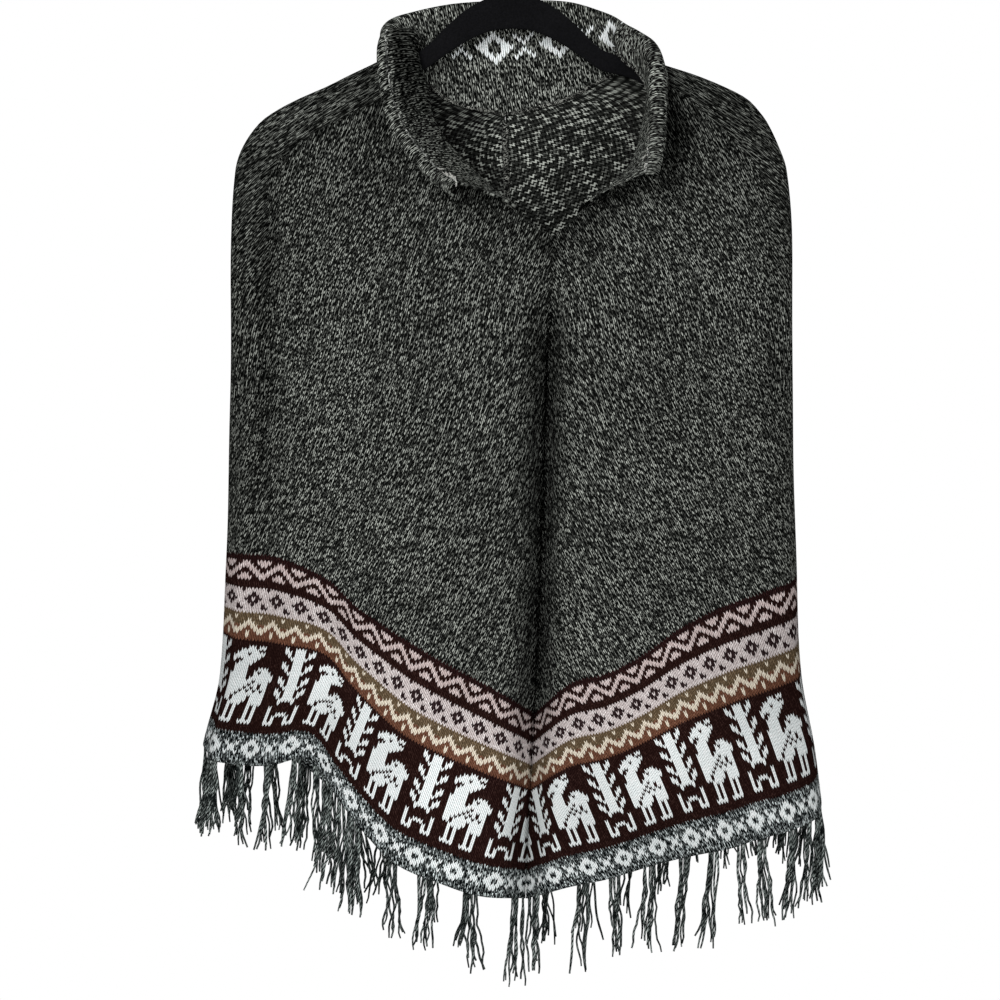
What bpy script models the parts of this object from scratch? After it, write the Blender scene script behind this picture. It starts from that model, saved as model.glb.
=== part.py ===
"""Andean poncho on a clothes hanger, as plain closed solids.

Metres, +Z up. The origin is the underside of the hanger hook's top, where a rail
meets it. The front faces -Y and +X is the wearer's left. Heights are given as
drops: metres below the origin.

Each half of the poncho is one knitted panel. It runs from the seam at the centre of
the front (share 0), round the side (share 0.5), to the seam at the centre of the
back (share 1).
"""

import math
from collections import namedtuple

import bmesh
import bpy
from mathutils import Vector

COLLECTION = "andean_poncho"
KNIT_THICKNESS = 0.0025
COLLAR_THICKNESS = 0.0022
FRINGE_THICKNESS = 0.0035
FRINGE_GAP = 0.0012
FRINGE_LENGTH = 0.076
SEAM_GAP = 0.0003
SQUARENESS = 0.6  # 1 makes each ring an ellipse, less fills its corners
ROUND_STEPS = 30  # faces round one half
DOWN_STEPS = 22  # faces from neck to hem
DOWN_BIAS = 1.35  # crowds the rows towards the shoulder
COLLAR_START = 1  # steps from the front seam to where the collar begins
COLLAR_LIFT = 0.0008

HOOK_RADIUS = 0.0195
HOOK_WIRE = 0.0018
HANGER_THICKNESS = 0.0076

# The outline, one row for each height: the side edges, how deep the front and back
# stand off the hanger's plane, and where the two seams run.
Ring = namedtuple("Ring", "drop right left front back front_seam back_seam")
RINGS = (
    Ring(0.128, -0.084, 0.078, 0.011, 0.011, 0.036, -0.006),
    Ring(0.135, -0.095, 0.094, 0.012, 0.012, 0.036, -0.006),
    Ring(0.143, -0.108, 0.110, 0.013, 0.013, 0.036, -0.006),
    Ring(0.151, -0.122, 0.130, 0.015, 0.015, 0.036, -0.006),
    Ring(0.162, -0.145, 0.164, 0.017, 0.017, 0.036, -0.006),
    Ring(0.173, -0.167, 0.191, 0.019, 0.019, 0.036, -0.006),
    Ring(0.183, -0.190, 0.210, 0.021, 0.021, 0.036, -0.006),
    Ring(0.194, -0.211, 0.221, 0.023, 0.023, 0.036, -0.006),
    Ring(0.205, -0.226, 0.229, 0.024, 0.024, 0.036, -0.006),
    Ring(0.226, -0.241, 0.239, 0.027, 0.027, 0.036, -0.006),
    Ring(0.247, -0.248, 0.246, 0.030, 0.029, 0.036, -0.005),
    Ring(0.310, -0.252, 0.251, 0.037, 0.035, 0.036, -0.004),
    Ring(0.450, -0.252, 0.251, 0.051, 0.047, 0.031, -0.002),
    Ring(0.600, -0.257, 0.255, 0.064, 0.059, 0.026, 0.000),
    Ring(0.700, -0.262, 0.261, 0.072, 0.067, 0.022, 0.000),
    Ring(0.770, -0.279, 0.273, 0.078, 0.073, 0.018, 0.000),
    Ring(0.900, -0.288, 0.287, 0.087, 0.082, 0.012, 0.000),
    Ring(0.990, -0.292, 0.292, 0.091, 0.087, 0.010, 0.000),
)

# The neckline and the V of the front, from seam to seam.
Top = namedtuple("Top", "share drop")
TOPS = {
    "right": (
        Top(0.000, 0.307),
        Top(0.040, 0.284),
        Top(0.062, 0.267),
        Top(0.106, 0.231),
        Top(0.158, 0.187),
        Top(0.217, 0.165),
        Top(0.300, 0.147),
        Top(0.400, 0.1335),
        Top(0.500, 0.129),
        Top(0.600, 0.134),
        Top(0.700, 0.147),
        Top(0.850, 0.170),
        Top(0.925, 0.187),
        Top(1.000, 0.198),
    ),
    "left": (
        Top(0.000, 0.307),
        Top(0.040, 0.279),
        Top(0.063, 0.268),
        Top(0.086, 0.245),
        Top(0.117, 0.196),
        Top(0.155, 0.169),
        Top(0.217, 0.153),
        Top(0.322, 0.141),
        Top(0.500, 0.135),
        Top(0.600, 0.139),
        Top(0.700, 0.148),
        Top(0.850, 0.168),
        Top(0.925, 0.185),
        Top(1.000, 0.198),
    ),
}

# The hem, from seam to seam.
Hem = namedtuple("Hem", "share right left")
HEMS = (
    Hem(0.000, 0.898, 0.898),
    Hem(0.044, 0.895, 0.887),
    Hem(0.083, 0.883, 0.880),
    Hem(0.125, 0.866, 0.870),
    Hem(0.162, 0.837, 0.863),
    Hem(0.197, 0.806, 0.858),
    Hem(0.225, 0.780, 0.855),
    Hem(0.250, 0.774, 0.852),
    Hem(0.283, 0.779, 0.846),
    Hem(0.325, 0.780, 0.840),
    Hem(0.380, 0.776, 0.831),
    Hem(0.500, 0.758, 0.808),
    Hem(0.620, 0.756, 0.786),
    Hem(0.740, 0.778, 0.790),
    Hem(0.870, 0.838, 0.838),
    Hem(1.000, 0.892, 0.892),
)

# The main folds. Each starts at a height, is full by another, and pushes the cloth
# out (or in, if negative) by one amount there and another at the hem.
Fold = namedtuple("Fold", "half share start full push hem_push width")
FOLDS = (
    Fold("right", 0.000, 0.36, 0.52, -0.012, -0.008, 0.034),
    Fold("right", 0.120, 0.40, 0.60, 0.005, 0.008, 0.050),
    Fold("right", 0.250, 0.55, 0.76, 0.000, -0.010, 0.035),
    Fold("right", 0.340, 0.24, 0.32, -0.007, -0.004, 0.026),
    Fold("right", 0.385, 0.30, 0.50, 0.003, 0.009, 0.030),
    Fold("right", 0.560, 0.34, 0.60, -0.010, -0.020, 0.045),
    Fold("right", 0.760, 0.40, 0.70, -0.006, -0.012, 0.050),
    Fold("right", 0.880, 0.40, 0.70, 0.004, 0.008, 0.050),
    Fold("left", 0.000, 0.36, 0.52, -0.012, -0.008, 0.034),
    Fold("left", 0.090, 0.40, 0.60, 0.006, 0.006, 0.045),
    Fold("left", 0.270, 0.30, 0.50, -0.004, -0.006, 0.050),
    Fold("left", 0.400, 0.35, 0.60, 0.002, 0.005, 0.040),
    Fold("left", 0.580, 0.34, 0.60, -0.010, -0.020, 0.045),
    Fold("left", 0.770, 0.40, 0.70, -0.005, -0.012, 0.050),
    Fold("left", 0.890, 0.40, 0.70, 0.004, 0.008, 0.050),
)

# The line along which the collar turns outwards, with the radius of that turn and
# how far the cloth falls after it. share is along the neckline, from the right end.
Crest = namedtuple("Crest", "share x y drop radius fall")
CRESTS = (
    Crest(0.00, -0.048, -0.082, 0.262, 0.0050, 0.004),
    Crest(0.06, -0.066, -0.080, 0.250, 0.0050, 0.004),
    Crest(0.12, -0.086, -0.072, 0.228, 0.0050, 0.005),
    Crest(0.18, -0.102, -0.058, 0.200, 0.0050, 0.005),
    Crest(0.23, -0.110, -0.041, 0.167, 0.0050, 0.005),
    Crest(0.28, -0.113, -0.018, 0.131, 0.0045, 0.005),
    Crest(0.33, -0.107, 0.010, 0.118, 0.0045, 0.005),
    Crest(0.38, -0.086, 0.026, 0.110, 0.0050, 0.006),
    Crest(0.44, -0.050, 0.031, 0.103, 0.0050, 0.003),
    Crest(0.52, 0.000, 0.035, 0.100, 0.0050, 0.002),
    Crest(0.60, 0.050, 0.032, 0.101, 0.0050, 0.003),
    Crest(0.66, 0.086, 0.026, 0.107, 0.0060, 0.006),
    Crest(0.72, 0.114, 0.010, 0.116, 0.0055, 0.006),
    Crest(0.76, 0.124, -0.013, 0.128, 0.0055, 0.006),
    Crest(0.80, 0.126, -0.034, 0.154, 0.0060, 0.008),
    Crest(0.86, 0.124, -0.052, 0.195, 0.0060, 0.008),
    Crest(0.92, 0.123, -0.065, 0.226, 0.0060, 0.009),
    Crest(1.00, 0.119, -0.077, 0.254, 0.0055, 0.005),
)
CURL_TURN = math.radians(165)
NECK_STEM = 0.009  # how far the collar first rises before it leans out
NECK_RISE = 0.80  # how upright that rise is: 0 follows the panel, 1 is straight up
CREST_LEAD = 0.35  # share of that lean spent straightening towards the crest

# The hanger's arm, from its middle to a tip.
Arm = namedtuple("Arm", "x top bottom")
ARMS = (
    Arm(0.0000, 0.0900, 0.1205),
    Arm(0.0200, 0.0925, 0.1230),
    Arm(0.0430, 0.1050, 0.1335),
    Arm(0.0600, 0.1200, 0.1445),
    Arm(0.0800, 0.1390, 0.1580),
    Arm(0.1000, 0.1505, 0.1675),
    Arm(0.1250, 0.1600, 0.1770),
    Arm(0.1600, 0.1755, 0.1920),
    Arm(0.1900, 0.1900, 0.2060),
    Arm(0.2100, 0.2000, 0.2150),
    Arm(0.2200, 0.2070, 0.2175),
)

COLOURS = {
    "ground_knit": ((0.045, 0.043, 0.040), 0.95, 0.0),
    "collar_knit": ((0.050, 0.048, 0.045), 0.95, 0.0),
    "fringe_yarn": ((0.070, 0.078, 0.074), 0.95, 0.0),
    "velvet": ((0.006, 0.006, 0.007), 1.0, 0.0),
    "steel": ((0.60, 0.60, 0.61), 0.25, 1.0),
}


def smooth(rows, column, at):
    """A table's column at a place between its rows, along a smooth curve."""
    last = len(rows) - 2
    i = 0
    while i < last and rows[i + 1][0] < at:
        i += 1

    def value(k):
        return getattr(rows[min(max(k, 0), last + 1)], column)

    def place(k):
        return rows[min(max(k, 0), last + 1)][0]

    span = place(i + 1) - place(i)
    t = (at - place(i)) / span
    t = min(max(t, 0.0), 1.0)
    before = (value(i + 1) - value(i - 1)) / (place(i + 1) - place(i - 1)) * span
    after = (value(i + 2) - value(i)) / (place(i + 2) - place(i)) * span
    return (
        value(i) * (2 * t**3 - 3 * t**2 + 1)
        + before * (t**3 - 2 * t**2 + t)
        + value(i + 1) * (3 * t**2 - 2 * t**3)
        + after * (t**3 - t**2)
    )


def ease(low, high, at):
    t = min(max((at - low) / (high - low), 0.0), 1.0)
    return t * t * (3 - 2 * t)


def fold_push(half, share, drop):
    """How far the folds move the cloth outwards at one place of a half."""
    total = 0.0
    for f in FOLDS:
        if f.half == half:
            bell = math.exp(-(((share - f.share) / f.width) ** 2))
            lower = ease(f.full, 0.80, drop)
            push = f.push + (f.hem_push - f.push) * lower
            total += bell * push * ease(f.start, f.full, drop)
    return total


def panel_point(half, share, drop):
    """The outer surface of a half: a ring at each height, pushed in and out by folds."""
    side = 1 if half == "left" else -1
    angle = math.pi * share
    across = math.sin(angle)
    along = math.cos(angle)
    seam = smooth(RINGS, "front_seam" if along > 0 else "back_seam", drop)
    edge = smooth(RINGS, half, drop)
    depth = smooth(RINGS, "front" if along > 0 else "back", drop)
    push = fold_push(half, share, drop)
    x = seam + (edge - seam) * across + side * across * push
    y = -math.copysign(abs(along) ** SQUARENESS, along) * depth - along * push
    clear = side * SEAM_GAP / 2 * abs(along) ** 8
    return Vector((x + clear, y, -drop))


def panel_grid(half, first, last, steps, bias):
    """Rows of points on a half, from a height to another, each worked out per share."""
    rows = []
    for j in range(steps + 1):
        part = (j / steps) ** bias
        row = []
        for i in range(ROUND_STEPS + 1):
            share = i / ROUND_STEPS
            low = first(share)
            row.append(panel_point(half, share, low + (last(share) - low) * part))
        rows.append(row)
    return rows


def sheet_object(name, rows, thickness, outwards, material):
    """A solid wall on a grid of points, thickened away from its outer side."""
    mesh = bpy.data.meshes.new(name)
    bm = bmesh.new()
    grid = [[bm.verts.new(p) for p in row] for row in rows]
    for upper, lower in zip(grid, grid[1:]):
        for a, b, c, d in zip(upper, upper[1:], lower[1:], lower):
            bm.faces.new((a, d, c, b) if outwards else (a, b, c, d))
    bm.to_mesh(mesh)
    bm.free()
    wall = add_object(name, mesh, material)
    solidify = wall.modifiers.new("Thickness", "SOLIDIFY")
    solidify.thickness = thickness
    solidify.offset = -1.0
    solidify.use_even_offset = True
    return wall


def add_object(name, data, material):
    thing = bpy.data.objects.new(name, data)
    data.materials.append(material)
    collection.objects.link(thing)
    return thing


def make_material(name):
    colour, roughness, metallic = COLOURS[name]
    material = bpy.data.materials.new(name)
    material.use_nodes = True
    shader = material.node_tree.nodes["Principled BSDF"]
    shader.inputs["Base Color"].default_value = (*colour, 1.0)
    shader.inputs["Roughness"].default_value = roughness
    shader.inputs["Metallic"].default_value = metallic
    material.diffuse_color = (*colour, 1.0)
    return material


def make_half(half):
    rows = panel_grid(
        half,
        lambda share: smooth(TOPS[half], "drop", share),
        lambda share: smooth(HEMS, half, share),
        DOWN_STEPS,
        DOWN_BIAS,
    )
    return sheet_object(
        half + "_half", rows, KNIT_THICKNESS, half == "left", materials["ground_knit"]
    )


def make_fringe(half):
    rows = panel_grid(
        half,
        lambda share: smooth(HEMS, half, share) + FRINGE_GAP,
        lambda share: smooth(HEMS, half, share) + FRINGE_LENGTH,
        2,
        1.0,
    )
    return sheet_object(
        half + "_fringe", rows, FRINGE_THICKNESS, half == "left", materials["fringe_yarn"]
    )


def neckline():
    """The neckline's corners from the right end round the back to the left end.

    Each is a point, the direction in which the panel rises to it, and its share of
    the neckline's length.
    """
    walk = [("right", i) for i in range(COLLAR_START, ROUND_STEPS + 1)]
    walk += [("left", i) for i in range(ROUND_STEPS - 1, COLLAR_START - 1, -1)]
    line = []
    length = 0.0
    for half, i in walk:
        share = i / ROUND_STEPS
        top = smooth(TOPS[half], "drop", share)
        edge = panel_point(half, share, top)
        below = panel_point(half, share, top + 0.004)
        length += (edge - line[-1][0]).length if line else 0.0
        line.append((edge, (edge - below).normalized(), length))
    return [(edge, up, part / length) for edge, up, part in line]


def crest_point(share):
    share = min(max(share, 0.0), 1.0)
    drop = smooth(CRESTS, "drop", share)
    return Vector((smooth(CRESTS, "x", share), smooth(CRESTS, "y", share), -drop))


def collar_section(edge, up, share):
    """One section of the collar, from the neckline to its turned-down edge."""
    base = edge + up * COLLAR_LIFT
    stem = base + up.lerp(Vector((0, 0, 1)), NECK_RISE).normalized() * NECK_STEM
    crest = crest_point(share)
    lean = (crest - stem).normalized()
    lead = crest - lean * (crest - stem).length * CREST_LEAD
    points = []
    for i in range(6):
        t = i / 5
        points.append(
            base * (1 - t) ** 3
            + stem * 3 * t * (1 - t) ** 2
            + lead * 3 * t**2 * (1 - t)
            + crest * t**3
        )
    out = lean.cross(crest_point(share + 0.03) - crest_point(share - 0.03)).normalized()
    radius = smooth(CRESTS, "radius", share)
    for i in range(1, 4):
        turn = CURL_TURN * i / 3
        points.append(
            crest + out * radius * (1 - math.cos(turn)) + lean * radius * math.sin(turn)
        )
    down = lean * math.cos(CURL_TURN) + out * math.sin(CURL_TURN)
    points.append(points[-1] + down * smooth(CRESTS, "fall", share))
    return points


def make_collar():
    sections = [collar_section(*corner) for corner in neckline()]
    return sheet_object(
        "collar", sections, COLLAR_THICKNESS, False, materials["collar_knit"]
    )


def make_hanger_body():
    """The arms, as a loft of rounded upright sections from one tip to the other."""
    steps = 12
    places = [ARMS[-1].x * (i / 24 * 2 - 1) for i in range(25)]
    mesh = bpy.data.meshes.new("hanger_body")
    bm = bmesh.new()
    rings = []
    for x in places:
        top = smooth(ARMS, "top", abs(x))
        bottom = smooth(ARMS, "bottom", abs(x))
        taper = 0.75 if abs(x) > ARMS[-2].x else 1.0
        ring = []
        for k in range(steps):
            turn = 2 * math.pi * (k + 0.5) / steps
            rise = math.copysign(abs(math.sin(turn)) ** 0.5, math.sin(turn))
            wide = math.copysign(abs(math.cos(turn)) ** 0.5, math.cos(turn))
            z = -(top + bottom) / 2 + rise * (bottom - top) / 2 * taper
            ring.append(bm.verts.new((x, wide * HANGER_THICKNESS / 2 * taper, z)))
        rings.append(ring)
    for a, b in zip(rings, rings[1:]):
        for k in range(steps):
            n = (k + 1) % steps
            bm.faces.new((a[k], a[n], b[n], b[k]))
    bm.faces.new(reversed(rings[0]))
    bm.faces.new(rings[-1])
    bmesh.ops.recalc_face_normals(bm, faces=bm.faces)
    bm.to_mesh(mesh)
    bm.free()
    return add_object("hanger_body", mesh, materials["velvet"])


def make_hook():
    """A bent wire: up from the hanger, out and over the rail, with a turned tip."""
    centre = -(HOOK_RADIUS - HOOK_WIRE)
    start = -ARMS[0].top + SEAM_GAP
    points = [Vector((0, 0, start)), Vector((0, 0, start + 0.012))]
    points.append(Vector((0.0015, 0, centre - HOOK_RADIUS - 0.014)))
    for i in range(17):
        turn = math.radians(-72 + 250 * i / 16)
        points.append(
            Vector((HOOK_RADIUS * math.cos(turn), 0, centre + HOOK_RADIUS * math.sin(turn)))
        )
    points.append(points[-1] + Vector((-0.002, 0, -0.006)))
    curve = bpy.data.curves.new("hanger_hook", "CURVE")
    curve.dimensions = "3D"
    curve.bevel_depth = HOOK_WIRE
    curve.bevel_resolution = 2
    curve.use_fill_caps = True
    spline = curve.splines.new("POLY")
    spline.points.add(len(points) - 1)
    for knot, p in zip(spline.points, points):
        knot.co = (*p, 1.0)
    return add_object("hanger_hook", curve, materials["steel"])


for old in list(bpy.data.objects):
    bpy.data.objects.remove(old, do_unlink=True)

collection = bpy.data.collections.new(COLLECTION)
bpy.context.scene.collection.children.link(collection)
materials = {name: make_material(name) for name in COLOURS}

make_half("right")
make_half("left")
make_collar()
make_fringe("right")
make_fringe("left")
make_hanger_body()
make_hook()
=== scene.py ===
# %% [markdown]
# # An Andean poncho on a clothes hanger
#
# The object is a machine-knitted poncho in a dark marl yarn, with a colourwork
# border of llamas and trees, a soft stand-up collar that rolls over, and a yarn
# fringe. It hangs on a velvet hanger. This lesson builds its looks round a CAD
# frame that already fixes every size. The frame's origin is the underside of the
# hook; +Z is up, the front faces -Y, and +X is the wearer's left. Heights are given
# as drops: metres below the origin.

import math

import bpy
import numpy as np
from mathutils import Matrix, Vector


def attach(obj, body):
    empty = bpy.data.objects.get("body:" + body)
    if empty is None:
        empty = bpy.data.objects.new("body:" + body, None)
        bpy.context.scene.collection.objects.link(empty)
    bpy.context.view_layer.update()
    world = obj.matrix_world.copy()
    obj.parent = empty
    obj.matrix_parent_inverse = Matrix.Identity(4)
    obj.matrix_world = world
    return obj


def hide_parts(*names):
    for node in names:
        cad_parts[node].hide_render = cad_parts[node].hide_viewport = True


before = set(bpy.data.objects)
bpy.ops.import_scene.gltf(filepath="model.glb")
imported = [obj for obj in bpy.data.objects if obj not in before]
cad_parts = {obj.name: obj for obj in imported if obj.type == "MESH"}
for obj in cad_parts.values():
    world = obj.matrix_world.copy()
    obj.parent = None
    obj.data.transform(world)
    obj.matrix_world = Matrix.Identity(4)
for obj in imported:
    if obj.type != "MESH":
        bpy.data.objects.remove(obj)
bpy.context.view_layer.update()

# %% [markdown]
# ## The outline as tables
#
# A hanging cloth could be simulated, but then its outline would be whatever the
# solver gave. Here the outline is known, so it is written down as a few tables and
# every surface is a smooth curve through their rows. `share` runs round one half of
# the poncho: 0 at the front seam, 0.5 at the side, 1 at the back seam. The right
# half is the wearer's right, at -X.

# %% The outline's tables
# drop, right edge, left edge, front depth, back depth, front seam, back seam
RINGS = np.array([
    (0.128, -0.084, 0.078, 0.011, 0.011, 0.036, -0.006),
    (0.135, -0.095, 0.094, 0.012, 0.012, 0.036, -0.006),
    (0.143, -0.108, 0.110, 0.013, 0.013, 0.036, -0.006),
    (0.151, -0.122, 0.130, 0.015, 0.015, 0.036, -0.006),
    (0.162, -0.145, 0.164, 0.017, 0.017, 0.036, -0.006),
    (0.173, -0.167, 0.191, 0.019, 0.019, 0.036, -0.006),
    (0.183, -0.190, 0.210, 0.021, 0.021, 0.036, -0.006),
    (0.194, -0.211, 0.221, 0.023, 0.023, 0.036, -0.006),
    (0.205, -0.226, 0.229, 0.024, 0.024, 0.036, -0.006),
    (0.226, -0.241, 0.239, 0.027, 0.027, 0.036, -0.006),
    (0.247, -0.248, 0.246, 0.030, 0.029, 0.036, -0.005),
    (0.310, -0.252, 0.251, 0.037, 0.035, 0.036, -0.004),
    (0.450, -0.252, 0.251, 0.051, 0.047, 0.031, -0.002),
    (0.600, -0.257, 0.255, 0.064, 0.059, 0.026, 0.000),
    (0.700, -0.262, 0.261, 0.072, 0.067, 0.022, 0.000),
    (0.770, -0.279, 0.273, 0.078, 0.073, 0.018, 0.000),
    (0.900, -0.288, 0.287, 0.087, 0.082, 0.012, 0.000),
    (0.990, -0.292, 0.292, 0.091, 0.087, 0.010, 0.000),
])
# share, drop of the neckline and of the V below it
TOPS = {
    "right": np.array([
        (0.000, 0.307), (0.040, 0.284), (0.062, 0.267), (0.106, 0.231), (0.158, 0.187),
        (0.217, 0.165), (0.300, 0.147), (0.400, 0.1335), (0.500, 0.129), (0.600, 0.134),
        (0.700, 0.147), (0.850, 0.170), (0.925, 0.187), (1.000, 0.198),
    ]),
    "left": np.array([
        (0.000, 0.307), (0.045, 0.284), (0.084, 0.269), (0.114, 0.245), (0.145, 0.203),
        (0.186, 0.173), (0.243, 0.155), (0.322, 0.142), (0.500, 0.135), (0.600, 0.139),
        (0.700, 0.148), (0.850, 0.168), (0.925, 0.185), (1.000, 0.198),
    ]),
}
# share, drop of the hem on the right half, and on the left
HEMS = np.array([
    (0.000, 0.898, 0.898), (0.044, 0.895, 0.887), (0.083, 0.883, 0.880), (0.125, 0.866, 0.870),
    (0.162, 0.837, 0.863), (0.197, 0.806, 0.858), (0.225, 0.780, 0.855), (0.250, 0.774, 0.852),
    (0.283, 0.779, 0.846), (0.325, 0.780, 0.840), (0.380, 0.776, 0.831), (0.500, 0.758, 0.808),
    (0.620, 0.756, 0.786), (0.740, 0.778, 0.790), (0.870, 0.838, 0.838), (1.000, 0.892, 0.892),
])
# share, drop of the line where the coloured border starts
BORDER_TOPS = {
    "right": np.array([
        (0.000, 0.735), (0.044, 0.712), (0.083, 0.694), (0.125, 0.674), (0.162, 0.656),
        (0.197, 0.639), (0.225, 0.620), (0.250, 0.610), (0.283, 0.601), (0.325, 0.595),
        (0.380, 0.593), (0.500, 0.590), (0.620, 0.585), (0.750, 0.605), (0.880, 0.665),
        (1.000, 0.730),
    ]),
    "left": np.array([
        (0.000, 0.735), (0.040, 0.708), (0.080, 0.6995), (0.127, 0.683), (0.180, 0.6595),
        (0.235, 0.644), (0.315, 0.630), (0.380, 0.621), (0.500, 0.609), (0.620, 0.590),
        (0.750, 0.600), (0.880, 0.655), (1.000, 0.730),
    ]),
}
SIDE_SIGN = {"right": -1.0, "left": 1.0}
SQUARENESS = 0.6  # below 1 a ring is squarer than an ellipse
SEAM_GAP = 0.0003  # between the two halves
HALF_ROUND = 0.62  # metres round a half, which turns shares into distances


def through(places, values, at):
    """A smooth curve through a table's rows.

    Between two rows it is the cubic whose slope at each row is the slope of the
    straight line from the row before to the row after.
    """
    at = np.clip(at, places[0], places[-1])
    i = np.clip(np.searchsorted(places, at, side="left") - 1, 0, len(places) - 2)
    before, after = np.maximum(i - 1, 0), np.minimum(i + 2, len(places) - 1)
    span = places[i + 1] - places[i]
    t = (at - places[i]) / span
    rise = (values[i + 1] - values[before]) / (places[i + 1] - places[before]) * span
    fall = (values[after] - values[i]) / (places[after] - places[i]) * span
    return (
        values[i] * (2 * t**3 - 3 * t**2 + 1)
        + rise * (t**3 - 2 * t**2 + t)
        + values[i + 1] * (3 * t**2 - 2 * t**3)
        + fall * (t**3 - t**2)
    )


def ease(low, high, at):
    """0 below low, 1 above high, and the S-shaped 3t^2 - 2t^3 between them."""
    t = np.clip((at - low) / (high - low), 0.0, 1.0)
    return t * t * (3 - 2 * t)


def bell(distance, width):
    """1 at a place and less round it: e to the power of -(distance / width)^2."""
    return np.exp(-((distance / width) ** 2))


def column(table, k, at):
    """A table's k-th column, read smoothly along its first one."""
    return through(table[:, 0], table[:, k], at)


def neck_drop(half, share):
    return column(TOPS[half], 1, share)


def hem_drop(half, share):
    return column(HEMS, 1 if half == "right" else 2, share)


def border_drop(half, share):
    return column(BORDER_TOPS[half], 1, share)


print("tables:", len(RINGS), "rings,", len(HEMS), "hem places")

# %% [markdown]
# ## Folds
#
# The two halves meet at the front in a deep valley, because their seam is turned
# inwards, and the cloth falls from the shoulders in a few soft rolls. Each fold is a
# bell across the cloth that grows with the drop. That is far easier to steer than a
# simulation, and the two halves still meet exactly at their seams.

# %% The folds, and one point of the cloth
# half, share, drop where it starts, drop where it is full, push there, push at the
# hem, width in shares
FOLDS = (
    ("right", 0.000, 0.36, 0.52, -0.012, -0.008, 0.034),
    ("right", 0.120, 0.40, 0.60, 0.005, 0.008, 0.050),
    ("right", 0.250, 0.55, 0.76, 0.000, -0.010, 0.035),
    ("right", 0.340, 0.24, 0.32, -0.007, -0.004, 0.026),
    ("right", 0.385, 0.30, 0.50, 0.003, 0.009, 0.030),
    ("right", 0.560, 0.34, 0.60, -0.010, -0.020, 0.045),
    ("right", 0.760, 0.40, 0.70, -0.006, -0.012, 0.050),
    ("right", 0.880, 0.40, 0.70, 0.004, 0.008, 0.050),
    ("left", 0.000, 0.36, 0.52, -0.012, -0.008, 0.034),
    ("left", 0.090, 0.40, 0.60, 0.006, 0.006, 0.045),
    ("left", 0.270, 0.30, 0.50, -0.004, -0.006, 0.050),
    ("left", 0.400, 0.35, 0.60, 0.002, 0.005, 0.040),
    ("left", 0.580, 0.34, 0.60, -0.010, -0.020, 0.045),
    ("left", 0.770, 0.40, 0.70, -0.005, -0.012, 0.050),
    ("left", 0.890, 0.40, 0.70, 0.004, 0.008, 0.050),
)
HEM_LEVEL = 0.80  # the drop at which a fold has its push at the hem
RIPPLE = 0.0007  # metres that the slow waves move the cloth
# how far the front seam is pulled in, how wide, and the drops where that starts and is full
SEAM_VALLEY, SEAM_PINCH = -0.022, 0.015
VALLEY_START, VALLEY_FULL = 0.31, 0.42


def fold_push(half, share, drop):
    """How far the folds move the cloth outwards.

    The sum over the folds of a bell across them, times their push, which changes
    from its first value to its hem value, times how far they have grown. The seams
    are pulled in besides, the back one half as far.
    """
    total = np.zeros(np.broadcast(share, drop).shape)
    for side, place, start, full, push, hem_push, width in FOLDS:
        if side == half:
            here = push + (hem_push - push) * ease(full, HEM_LEVEL, drop)
            total = total + bell(share - place, width) * here * ease(start, full, drop)
    pinch = bell(share, SEAM_PINCH) + 0.5 * bell(1 - share, SEAM_PINCH)
    return total + SEAM_VALLEY * pinch * ease(VALLEY_START, VALLEY_FULL, drop)


def ripple(half, share, drop):
    """Slow unevenness of a soft cloth: three crossing waves that die at the seams."""
    shift = 0.0 if half == "right" else 2.1
    waves = (
        np.sin(31 * share + 9 * drop + shift)
        + 0.7 * np.sin(53 * share - 16 * drop + 1.3 + shift)
        + 0.5 * np.sin(17 * share + 37 * drop + 0.4 + shift)
    )
    return RIPPLE * waves * np.sin(math.pi * share) ** 2 * ease(0.20, 0.40, drop)


def cloth_point(half, share, drop, inset=0.0):
    """The outer surface of a half, as arrays of points.

    At each drop it is a squared-off half ellipse: x swings from the seam out to the
    side edge as the sine of the turn, y is the depth times a power of its cosine,
    and the folds move the point along (sine, cosine). inset moves it inwards.
    """
    share, drop = np.broadcast_arrays(np.asarray(share, float), np.asarray(drop, float))
    side = SIDE_SIGN[half]
    across, along = np.sin(math.pi * share), np.cos(math.pi * share)
    front = along > 0
    seam = np.where(front, column(RINGS, 5, drop), column(RINGS, 6, drop))
    edge = column(RINGS, 1 if half == "right" else 2, drop)
    depth = np.where(front, column(RINGS, 3, drop), column(RINGS, 4, drop))
    push = fold_push(half, share, drop) + ripple(half, share, drop) - inset
    x = seam + (edge - seam) * across + side * across * push
    x = x + side * SEAM_GAP / 2 * np.abs(along) ** 8  # only near the seams
    y = -np.sign(along) * np.abs(along) ** SQUARENESS * depth - along * push
    return np.stack([x, y, -drop], axis=-1)


print("side of the right half at a drop of 0.5:", cloth_point("right", 0.5, 0.5).round(4))

# %% [markdown]
# ## Where the stitches lie
#
# Knitting is a grid of stitches: columns called wales and rows called courses. The
# patterns need to know at every point which stitch it is, so each half gets a UV map
# whose unit is one stitch across and one row up. The border is a strip with a fixed
# number of rows between its upper line and the hem; above it the rows go on at the
# body's gauge. The wales lean, because each half hangs partly on the bias, and over
# the shoulders they swing round almost level. Writing the map by formula keeps the
# stitches even, which an automatic unwrap wouldn't.

# %% Distances along the cloth
def lengths_along(points):
    """How far each point of a line lies from its first: the gaps, summed.

    points may hold many lines, as lines x places x 3.
    """
    sums = np.cumsum(np.linalg.norm(np.diff(points, axis=-2), axis=-1), axis=-1)
    return np.concatenate([np.zeros_like(sums[..., :1]), sums], axis=-1)


RING_FACES, RING_COUNT = 600, 90  # how finely the distances are measured
RING_TOP, RING_BOTTOM = 0.125, 0.99  # drops of the first and the last measured ring


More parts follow.
